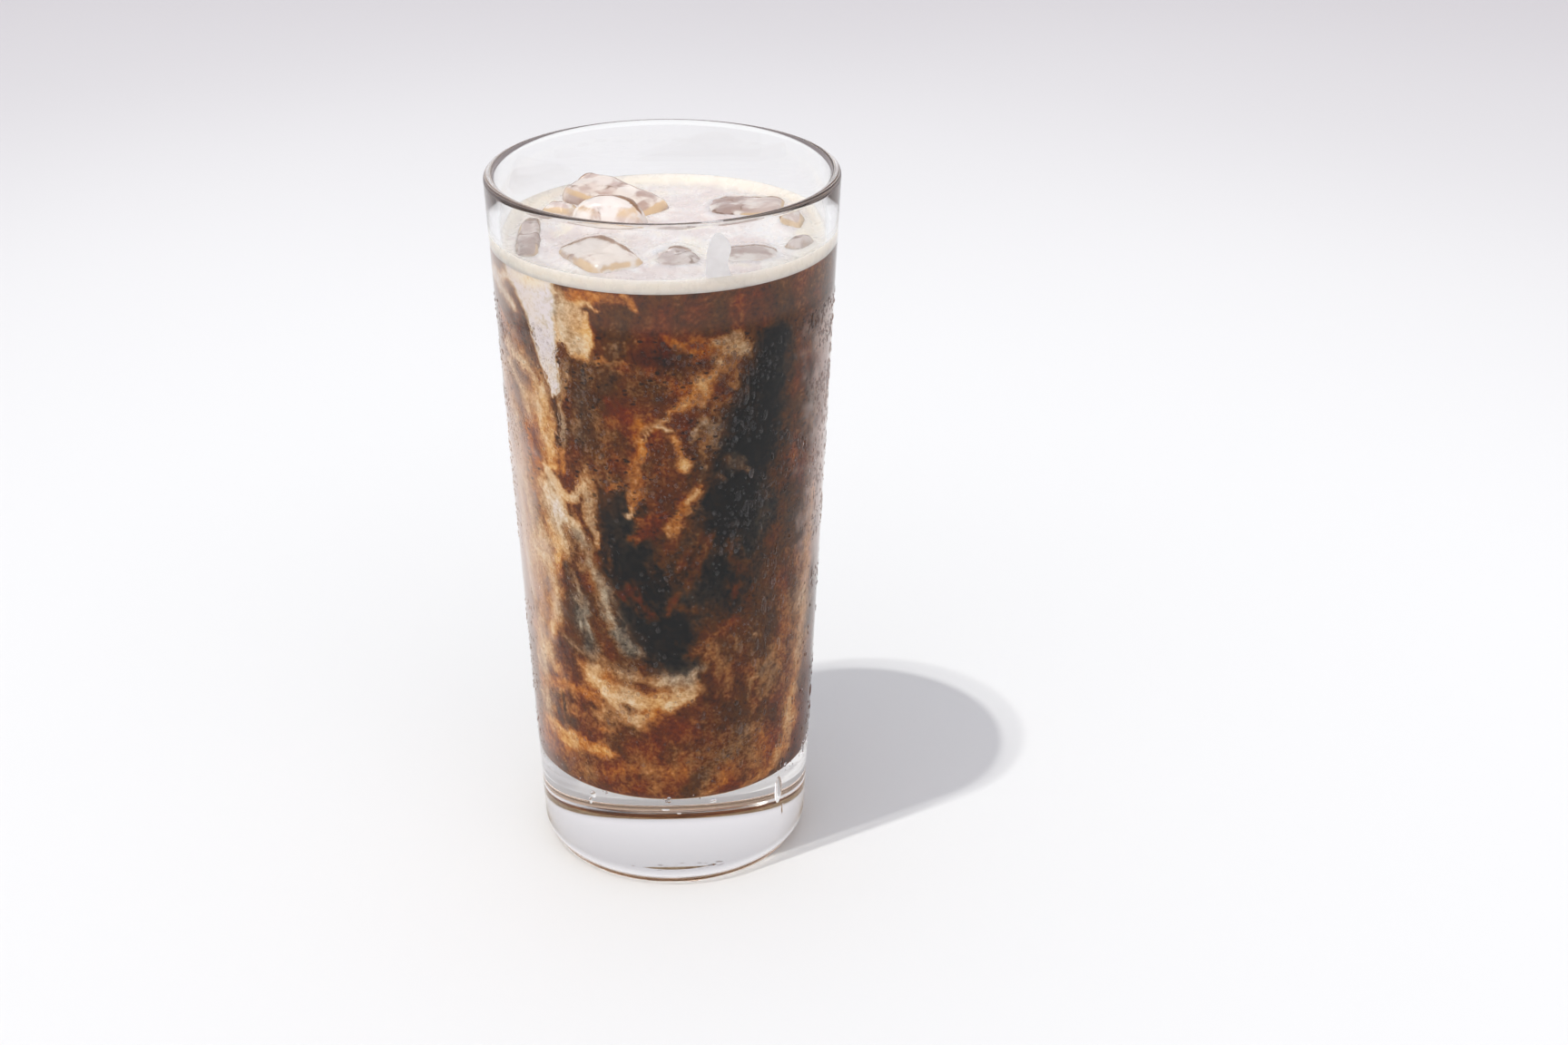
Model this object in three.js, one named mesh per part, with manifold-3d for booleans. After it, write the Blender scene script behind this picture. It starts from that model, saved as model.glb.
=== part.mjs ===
// A tall tapered glass of iced coffee with milk: a clear heavy-based tumbler, the coffee in it,
// the cream layer on top and the blocks of ice that break its surface.
// Millimetres, +Z up. The origin is the middle of the glass's foot, on the surface it stands on.
import * as THREE from "three";
import { mergeVertices } from "three/addons/utils/BufferGeometryUtils.js";
import Module from "manifold-3d";

const wasm = await Module();
wasm.setup();

// Glass
const GLASS_HEIGHT = 155;
const FOOT_RADIUS = 29.4; // the wall's straight outer line, carried down to the table
const RIM_RADIUS = 36.7;
const FOOT_ROUND = 5; // rounded outer corner of the foot
const FOOT_RING_INSIDE = 21; // the foot stands on the ring outside this radius
const UNDERSIDE_DISH = 0.8;
const FLOOR_HEIGHT = 20.4; // top of the thick clear base
const FLOOR_ROUND = 6; // rounded inner corner
const WALL_AT_FLOOR = 3.2;
const WALL_AT_RIM = 2.2;
const ROUND_SIDES = 72; // facets round the axis
const DISH_STEPS = 3;
const CORNER_STEPS = 5;
const LIP_STEPS = 8;

// Drink
const GAP = 0.3; // between pieces that touch
const COFFEE_TOP = 140.2;
const CREAM_TOP = 142.4;
const CREAM_EDGE = 143.2; // the cream climbs the wall a little
const CREAM_CLIMB = 2.6; // over this distance from the wall
const CLIMB_STEPS = 4;

// Ice. size is width, depth and height; at is the middle of the block's top face, about which turn
// tilts it, in degrees about X, Y and Z; sharp is low for a round melted block and high for one
// with sharp corners; dish is how far the top has melted in.
const ICE_STEPS = 5; // facets along each edge of a block
const ICE_WAVE = 0.022; // unevenness of the faces, as a share of the block's half size
const WAVE_ACROSS = 2.6;
const WAVE_ALONG = 2.1;
const WAVE_UP = 2.9;
const WAVE_SHIFT = 1.7;
const ICE_BLOCKS = {
  ice_back_left: { size: [23, 10.5, 16], at: [-10.3, 15.8, 145.1], turn: [12, 7, -37], sharp: 10 },
  ice_dome: { size: [16, 9.6, 20], at: [-11.3, 2.7, 148.3], turn: [-2, 0, -6], sharp: 3.2 },
  ice_left_shard: { size: [8.6, 5.4, 14], at: [-21.9, 9.9, 144.5], turn: [-2, -3, -16], sharp: 3.4 },
  ice_left: { size: [4.8, 19, 19], at: [-27.5, -7.8, 143.2], turn: [3, -2, 4], sharp: 7, dish: 0.2 },
  ice_front_left: { size: [13.6, 20.5, 21], at: [-13.1, -16.3, 144.4], turn: [-4, 3, 30], sharp: 5, dish: 0.8 },
  ice_front: { size: [11, 14.6, 18], at: [2, -17.6, 143.1], turn: [-3, -2, 8], sharp: 5, dish: 0.4 },
  ice_front_right: { size: [13.6, 11.5, 19], at: [17, -16.6, 142.9], turn: [2, 1, 12], sharp: 5, dish: 0.3 },
  ice_right: { size: [4.6, 8, 14], at: [27.2, -11, 143.5], turn: [4, 2, -32], sharp: 3.4 },
  ice_right_shard: { size: [5, 7, 13], at: [27.4, 0.6, 143.4], turn: [-4, 6, -18], sharp: 5 },
  ice_back_right: { size: [18.5, 13, 20], at: [17.2, 13.2, 143.3], turn: [2, -2, -6], sharp: 7, dish: 0.3 },
};

const radians = THREE.MathUtils.degToRad;
const lerp = THREE.MathUtils.lerp;

function outerRadius(z) {
  return lerp(FOOT_RADIUS, RIM_RADIUS, z / GLASS_HEIGHT);
}

function innerRadius(z) {
  const up = (z - FLOOR_HEIGHT) / (GLASS_HEIGHT - FLOOR_HEIGHT);
  return outerRadius(z) - lerp(WALL_AT_FLOOR, WALL_AT_RIM, up);
}

// Points along an arc about a centre, from one angle to another in degrees.
function arc(centreX, centreY, radius, from, to, steps) {
  const points = [];
  for (let i = 0; i <= steps; i += 1) {
    const angle = radians(lerp(from, to, i / steps));
    points.push(new THREE.Vector2(centreX + radius * Math.cos(angle), centreY + radius * Math.sin(angle)));
  }
  return points;
}

// A solid of revolution about Z from a profile of (radius, height) points.
function turned(profile) {
  const geometry = new THREE.LatheGeometry(profile, ROUND_SIDES);
  geometry.rotateX(Math.PI / 2);
  return geometry;
}

function glassProfile() {
  const lean = THREE.MathUtils.radToDeg(Math.atan((RIM_RADIUS - FOOT_RADIUS) / GLASS_HEIGHT));
  const lipRadius = WALL_AT_RIM / 2;
  const lipHeight = GLASS_HEIGHT - lipRadius;
  const lipMiddle = outerRadius(lipHeight) - lipRadius;
  const footMiddle = outerRadius(FOOT_ROUND) - FOOT_ROUND;
  const floorTop = FLOOR_HEIGHT + FLOOR_ROUND;
  const dishRadius = (FOOT_RING_INSIDE ** 2 + UNDERSIDE_DISH ** 2) / (2 * UNDERSIDE_DISH);
  const dishAngle = THREE.MathUtils.radToDeg(Math.asin(FOOT_RING_INSIDE / dishRadius));
  return [
    ...arc(0, UNDERSIDE_DISH - dishRadius, dishRadius, 90, 90 - dishAngle, DISH_STEPS),
    ...arc(footMiddle, FOOT_ROUND, FOOT_ROUND, -90, -lean, CORNER_STEPS),
    ...arc(lipMiddle, lipHeight, lipRadius, -lean, 180 - lean, LIP_STEPS),
    ...arc(innerRadius(floorTop) - FLOOR_ROUND, floorTop, FLOOR_ROUND, -lean, -90, CORNER_STEPS),
    new THREE.Vector2(0, FLOOR_HEIGHT),
  ];
}

function coffeeProfile() {
  const floorTop = FLOOR_HEIGHT + FLOOR_ROUND;
  const corner = FLOOR_ROUND - GAP;
  return [
    new THREE.Vector2(0, FLOOR_HEIGHT + GAP),
    ...arc(innerRadius(floorTop) - FLOOR_ROUND, floorTop, corner, -90, 0, CORNER_STEPS),
    new THREE.Vector2(innerRadius(COFFEE_TOP) - GAP, COFFEE_TOP),
    new THREE.Vector2(0, COFFEE_TOP),
  ];
}

function creamProfile() {
  const bottom = COFFEE_TOP + GAP;
  const edge = innerRadius(CREAM_EDGE) - GAP;
  const climb = [];
  for (let i = 1; i <= CLIMB_STEPS; i += 1) {
    const inward = i / CLIMB_STEPS;
    const height = lerp(CREAM_TOP, CREAM_EDGE, (1 - inward) ** 2);
    climb.push(new THREE.Vector2(edge - CREAM_CLIMB * inward, height));
  }
  return [
    new THREE.Vector2(0, bottom),
    new THREE.Vector2(innerRadius(bottom) - GAP, bottom),
    new THREE.Vector2(edge, CREAM_EDGE),
    ...climb,
    new THREE.Vector2(0, CREAM_TOP),
  ];
}

// A melted ice block with rounded corners and gently uneven faces, its top at height 0. grow makes
// the same block larger all round, for the pocket that it sits in.
function iceGeometry({ size, sharp, dish = 0 }, phase, grow = 0) {
  const box = new THREE.BoxGeometry(2, 2, 2, ICE_STEPS, ICE_STEPS, ICE_STEPS);
  box.deleteAttribute("normal");
  box.deleteAttribute("uv");
  const geometry = mergeVertices(box);
  const place = geometry.attributes.position;
  for (let i = 0; i < place.count; i += 1) {
    const x = place.getX(i);
    const y = place.getY(i);
    const z = place.getZ(i);
    const power = Math.abs(x) ** sharp + Math.abs(y) ** sharp + Math.abs(z) ** sharp;
    const sideways = Math.sin(WAVE_ACROSS * x + phase) * Math.cos(WAVE_ALONG * y - phase);
    const wave = sideways + Math.sin(WAVE_UP * z + WAVE_SHIFT * phase);
    const shrink = (1 + ICE_WAVE * wave) / power ** (1 / sharp);
    const melt = z > 0 ? dish * (1 - x * x) * (1 - y * y) : 0;
    place.setXYZ(
      i,
      x * shrink * (size[0] / 2 + grow),
      y * shrink * (size[1] / 2 + grow),
      z * shrink * (size[2] / 2 + grow) - melt - size[2] / 2,
    );
  }
  return geometry;
}

function icePlace({ at, turn }) {
  const rotation = new THREE.Euler(radians(turn[0]), radians(turn[1]), radians(turn[2]), "ZYX");
  return new THREE.Matrix4().makeRotationFromEuler(rotation).setPosition(...at);
}

const MERGE_WITHIN = 0.0001; // vertices closer than this are one

function toSolid(geometry) {
  const bare = geometry.clone();
  bare.deleteAttribute("normal");
  bare.deleteAttribute("uv");
  const merged = mergeVertices(bare, MERGE_WITHIN);
  return new wasm.Manifold(
    new wasm.Mesh({
      numProp: 3,
      vertProperties: new Float32Array(merged.attributes.position.array),
      triVerts: new Uint32Array(merged.index.array),
    }),
  );
}

function toGeometry(solid) {
  const mesh = solid.getMesh();
  const geometry = new THREE.BufferGeometry();
  geometry.setAttribute("position", new THREE.BufferAttribute(new Float32Array(mesh.vertProperties), 3));
  geometry.setIndex(new THREE.BufferAttribute(new Uint32Array(mesh.triVerts), 1));
  return geometry;
}

// The drink is cut round every block of ice, with the usual gap.
function cutRoundIce(geometry) {
  let solid = toSolid(geometry);
  Object.values(ICE_BLOCKS).forEach((block, index) => {
    const pocket = iceGeometry(block, index, GAP);
    pocket.applyMatrix4(icePlace(block));
    solid = solid.subtract(toSolid(pocket));
  });
  return toGeometry(solid);
}

const glassFinish = new THREE.MeshStandardMaterial({
  color: 0xeef1f2,
  roughness: 0.03,
  metalness: 0,
  transparent: true,
  opacity: 0.3,
});
const coffeeFinish = new THREE.MeshStandardMaterial({ color: 0x4a2f22, roughness: 0.35, metalness: 0 });
const creamFinish = new THREE.MeshStandardMaterial({ color: 0xe9dfcf, roughness: 0.45, metalness: 0 });
const iceFinish = new THREE.MeshStandardMaterial({
  color: 0xdcd2cc,
  roughness: 0.12,
  metalness: 0,
  transparent: true,
  opacity: 0.55,
});

const group = new THREE.Group();

function addPiece(name, geometry, finish) {
  const piece = new THREE.Mesh(geometry, finish);
  piece.name = name;
  group.add(piece);
  return piece;
}

addPiece("glass", turned(glassProfile()), glassFinish);
addPiece("coffee", cutRoundIce(turned(coffeeProfile())), coffeeFinish);
addPiece("cream", cutRoundIce(turned(creamProfile())), creamFinish);
Object.entries(ICE_BLOCKS).forEach(([name, block], index) => {
  const piece = addPiece(name, iceGeometry(block, index), iceFinish);
  piece.applyMatrix4(icePlace(block));
});

export default group;
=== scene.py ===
"""A tall glass of iced coffee with milk: its glass, drink, ice and condensation, on a pale floor."""

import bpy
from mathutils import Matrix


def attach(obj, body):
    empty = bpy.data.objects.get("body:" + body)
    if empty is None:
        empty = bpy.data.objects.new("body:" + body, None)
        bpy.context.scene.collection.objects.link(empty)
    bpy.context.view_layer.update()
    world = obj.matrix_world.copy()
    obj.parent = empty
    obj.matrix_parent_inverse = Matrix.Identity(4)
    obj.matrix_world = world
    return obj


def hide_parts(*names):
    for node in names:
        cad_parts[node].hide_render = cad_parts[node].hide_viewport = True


bl_info = {
    "name": "Glass of Iced Coffee",
    "version": (1, 0, 0),
    "blender": (4, 5, 0),
    "location": "View3D > Sidebar > Iced Coffee",
    "description": "Builds a tall glass of iced coffee with milk round its packed model",
    "category": "Object",
}

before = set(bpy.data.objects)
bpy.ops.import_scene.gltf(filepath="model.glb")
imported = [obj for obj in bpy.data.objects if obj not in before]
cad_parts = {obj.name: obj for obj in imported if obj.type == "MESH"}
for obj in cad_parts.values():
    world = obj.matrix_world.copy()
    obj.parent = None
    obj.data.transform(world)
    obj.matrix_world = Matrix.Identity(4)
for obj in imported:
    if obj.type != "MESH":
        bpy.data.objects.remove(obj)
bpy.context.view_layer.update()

import math

import bpy
import numpy as np
from mathutils import Euler, Matrix, Vector
from mathutils.kdtree import KDTree

MM = 0.001
BODY = "root"

# Glass, in mm. The wall is straight, and its outer line is carried down to the table.
GLASS_HEIGHT = 155.0
FOOT_RADIUS = 29.4
RIM_RADIUS = 36.7
FOOT_ROUND = 5.0
FOOT_RING_INSIDE = 21.0
UNDERSIDE_DISH = 0.8
BASE_HEIGHT = 20.4
BASE_ROUND = 6.0
WALL_AT_BASE = 3.2
WALL_AT_RIM = 2.2

# Drink, in mm
INTO_WALL = 0.2  # the drink reaches this far into the wall, so that no air shows between
COFFEE_TOP = 140.4
CREAM_BOTTOM = 140.2
CREAM_TOP = 142.4
CREAM_EDGE = 143.2
CREAM_CLIMB = 2.6
MIST_TOP = 131.7  # the outside is wet up to here
WET_FOOT = 1.8  # the water under the foot wets it up to here
DRY_FOOT = ((-75, -48), (-40, -33), (38, 47), (52, 80))  # where it is dry, in degrees from +Y to -X

# Facets round the axis, and rings up the wall
GLASS_SIDES = 160
COFFEE_SIDES = 420
COFFEE_RINGS = 158
CREAM_SIDES = 320
CREAM_RINGS = 60

ICE_FILM = {  # share of each block that milk covers
    "ice_back_left": 0.45,
    "ice_back_right": 0.35,
    "ice_dome": 1.0,
    "ice_front": 0.1,
    "ice_front_left": 0.75,
    "ice_front_right": 0.4,
    "ice_left": 0.3,
    "ice_left_shard": 0.6,
    "ice_right": 0.1,
    "ice_right_shard": 0.5,
}


def outer_radius(height):
    return FOOT_RADIUS + (RIM_RADIUS - FOOT_RADIUS) * height / GLASS_HEIGHT


def inner_radius(height):
    up = (height - BASE_HEIGHT) / (GLASS_HEIGHT - BASE_HEIGHT)
    return outer_radius(height) - WALL_AT_BASE - (WALL_AT_RIM - WALL_AT_BASE) * up


# Settings


def length_setting(name, description, default):
    return bpy.props.FloatProperty(
        name=name, description=description, default=default, min=0.0, unit="LENGTH", subtype="DISTANCE"
    )


def colour_setting(name, description, default):
    return bpy.props.FloatVectorProperty(
        name=name, description=description, default=default, size=3, min=0.0, max=1.0, subtype="COLOR"
    )


class GlassSettings(bpy.types.PropertyGroup):
    """The clear tumbler"""

    ior: bpy.props.FloatProperty(name="IOR", description="How much the glass bends light", default=1.47)
    tint: colour_setting("Tint", "Colour of the glass", (0.995, 0.998, 0.997))
    mist: bpy.props.FloatProperty(
        name="Mist", description="How strongly the fine mist roughens the outside", default=0.3
    )


class DrinkSettings(bpy.types.PropertyGroup):
    """The milk and cream on top"""

    cream_middle: colour_setting("Milk", "Colour of the milk between the ice", (0.67, 0.60, 0.585))
    cream_ring: colour_setting("Cream", "Colour of the cream by the wall", (0.76, 0.71, 0.635))


class IceSettings(bpy.types.PropertyGroup):
    """The blocks of ice"""

    pits: length_setting("Pits", "Depth of the uneven melting of the faces", 0.35 * MM)
    film: length_setting("Film", "Thickness of drink left between ice and pocket", 0.15 * MM)


class WetSettings(bpy.types.PropertyGroup):
    """The condensation"""

    fine: bpy.props.IntProperty(name="Fine beads", description="Beads of the mist", default=6000)
    coarse: bpy.props.IntProperty(name="Beads", description="Larger beads", default=4200)
    long: bpy.props.IntProperty(
        name="Long drops", description="Drops that hang on the right", default=600
    )


class StudioSettings(bpy.types.PropertyGroup):
    """The light and the picture"""

    sun: bpy.props.FloatProperty(name="Lamp", description="Strength of the main lamp", default=1.5)
    room: bpy.props.FloatProperty(name="Room", description="Soft light from the sides", default=1.0)
    front: bpy.props.FloatProperty(
        name="Front", description="How much stronger the soft light is from the front", default=2.0
    )
    contrast: bpy.props.FloatProperty(name="Contrast", description="Gamma of the picture", default=0.85)
    overhead: bpy.props.FloatProperty(name="Overhead", description="Soft light from above", default=0.60)
    room_tint: colour_setting("Room tint", "Colour of the soft light", (0.985, 0.965, 1.0))


# Modelling

SPIN_MERGE = 0.001  # mm, within which the spin's first and last corners are one
ICE_MERGE = 0.01  # mm, for the loose triangles of a block of ice


def select_only(piece):
    bpy.ops.object.select_all(action="DESELECT")
    piece.select_set(True)
    bpy.context.view_layer.objects.active = piece


def named(piece, name):
    """Gives a piece and its mesh the same name."""
    piece.name = name
    piece.data.name = name
    return piece


def arc(centre_x, centre_z, radius, start, end, steps):
    """Points (radius, height) along an arc, from one angle to another in degrees."""
    angles = np.radians(np.linspace(start, end, steps + 1))
    return [(centre_x + radius * math.cos(a), centre_z + radius * math.sin(a)) for a in angles]


def line(start, end, steps):
    """Points along a straight line, without its first one."""
    parts = np.linspace(0.0, 1.0, steps + 1)[1:]
    return [(start[0] + t * (end[0] - start[0]), start[1] + t * (end[1] - start[1])) for t in parts]


def spun(name, profile, sides):
    """Draws a line of vertices along a profile of (radius, height) in mm and spins it about Z."""
    bpy.ops.object.select_all(action="DESELECT")
    first = Vector((profile[0][0], 0.0, profile[0][1])) * MM
    bpy.ops.mesh.primitive_plane_add(size=MM, location=first)
    piece = named(bpy.context.object, name)
    bpy.ops.object.transform_apply(location=True, rotation=True, scale=True)
    bpy.ops.object.mode_set(mode="EDIT")
    bpy.ops.mesh.select_mode(type="VERT")
    bpy.ops.mesh.select_all(action="SELECT")
    bpy.ops.mesh.merge(type="CENTER")
    for (r0, z0), (r1, z1) in zip(profile, profile[1:]):
        move = ((r1 - r0) * MM, 0.0, (z1 - z0) * MM)
        bpy.ops.mesh.extrude_region_move(TRANSFORM_OT_translate={"value": move})
    bpy.ops.mesh.select_all(action="SELECT")
    bpy.ops.mesh.spin(steps=sides, angle=math.tau, center=(0, 0, 0), axis=(0, 0, 1))
    bpy.ops.mesh.select_all(action="SELECT")
    bpy.ops.mesh.remove_doubles(threshold=SPIN_MERGE * MM)
    bpy.ops.mesh.normals_make_consistent(inside=False)
    bpy.ops.object.mode_set(mode="OBJECT")
    bpy.ops.object.shade_smooth()
    return piece


def corners_of(mesh):
    """The mesh's vertices in mm, one row each."""
    places = np.empty(len(mesh.vertices) * 3)
    mesh.vertices.foreach_get("co", places)
    return places.reshape(-1, 3) / MM


def move_corners(mesh, places):
    mesh.vertices.foreach_set("co", (places * MM).ravel())
    mesh.update()


def keep_values(mesh, name, values):
    """Stores one number or one vector a vertex on the mesh, for its material."""
    kind, field = ("FLOAT", "value") if values.ndim == 1 else ("FLOAT_VECTOR", "vector")
    layer = mesh.attributes.new(name, kind, "POINT")
    layer.data.foreach_set(field, np.ascontiguousarray(values, dtype=np.float32).ravel())


def apply_modifier(piece, kind, **settings):
    select_only(piece)
    modifier = piece.modifiers.new(kind.lower(), kind)
    for key, value in settings.items():
        setattr(modifier, key, value)
    bpy.ops.object.modifier_apply(modifier=modifier.name)


def smooth(low, high, value):
    """0 below low and 1 above high, with a smooth step between."""
    part = np.clip((value - low) / (high - low), 0.0, 1.0)
    return part * part * (3.0 - 2.0 * part)


# Random patterns

SEED = 11
random_numbers = np.random.default_rng(SEED)
SHUFFLED = random_numbers.permutation(256)
WAYS = random_numbers.normal(size=(256, 3))
WAYS /= np.linalg.norm(WAYS, axis=1, keepdims=True)
LUMP_GAIN = 1.6
SHIFT_STEP = 17.3  # lumps between one pattern and the next


def lumps(places, size, shift=0.0):
    """Smooth random values from about -1 to 1, with lumps of this size in mm."""
    at = (places / size + SHIFT_STEP * shift).T
    cell = np.floor(at).astype(int)
    part = at - cell
    ease = part**3 * (part * (part * 6 - 15) + 10)
    shares = (1 - ease, ease)
    total = np.zeros(len(places))
    for i in (0, 1):
        row = SHUFFLED[(cell[0] + i) & 255] + cell[1]
        for j in (0, 1):
            column = SHUFFLED[(row + j) & 255] + cell[2]
            level = shares[i][0] * shares[j][1]
            for k in (0, 1):
                way = WAYS[SHUFFLED[(column + k) & 255]]
                slope = way[:, 0] * (part[0] - i) + way[:, 1] * (part[1] - j) + way[:, 2] * (part[2] - k)
                total += level * shares[k][2] * slope
    return total * LUMP_GAIN


def rough(places, size, shift=0.0, layers=4, loss=0.6):
    """Lumps with finer lumps on them."""
    total, share = np.zeros(len(places)), 1.0
    for layer in range(layers):
        total += share * lumps(places, size / 2**layer, shift + layer)
        share *= loss
    return total


# Swirls of milk

MEAN_RADIUS = 31.0  # of the unrolled wall, in mm
EDDIES = ((14.0, 0.16, 0.0), (5.5, 0.2, 3.0), (2.2, 0.13, 6.0))  # size in mm, strength, shift
DRIFT_STEPS = 5
DRIFT_PROBE = 0.05  # mm, over which the slope of an eddy is taken
BACK_RAISE = 14.0  # mm that the swirls climb from the side to the middle of the back
STREAK_LONG = 9.0  # streaks along a stroke, in mm
STREAK_WIDE = 1.9
RAGGED_SIZE = 4.5  # mm, of the tears in the edge of a stroke
MARBLE_SIZE = 6.5  # mm, of the marbling all over
TONE_SIZE = 8.0  # mm, of the patches of warmer and cooler brown
PLAIN_MILK = 0.2  # where no stroke lies
PLAIN_WARMTH = 0.6

# How a painted pale sheen pales the sides of the drink, standing for light that the lit mist scatters
# and the wall reflects at grazing angles, in degrees from the front and mm
SHEEN_LEFT = (45, 78)
SHEEN_RIGHT = (52, 84)
SHEEN_LEFT_THINS = (98, 112)  # the left side's is thinner above this
SHEEN_RIGHT_GROWS = (50, 85)
SHEEN_GROWS = (30, 75)
SHEEN_EDGE = 5.0  # over which it starts below the top of the mist
# painted sheen: a little of it lies on the dry wall above the mist too
SHEEN_CLEAR_BAND = 0.06  # of the dry wall above the mist

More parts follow.
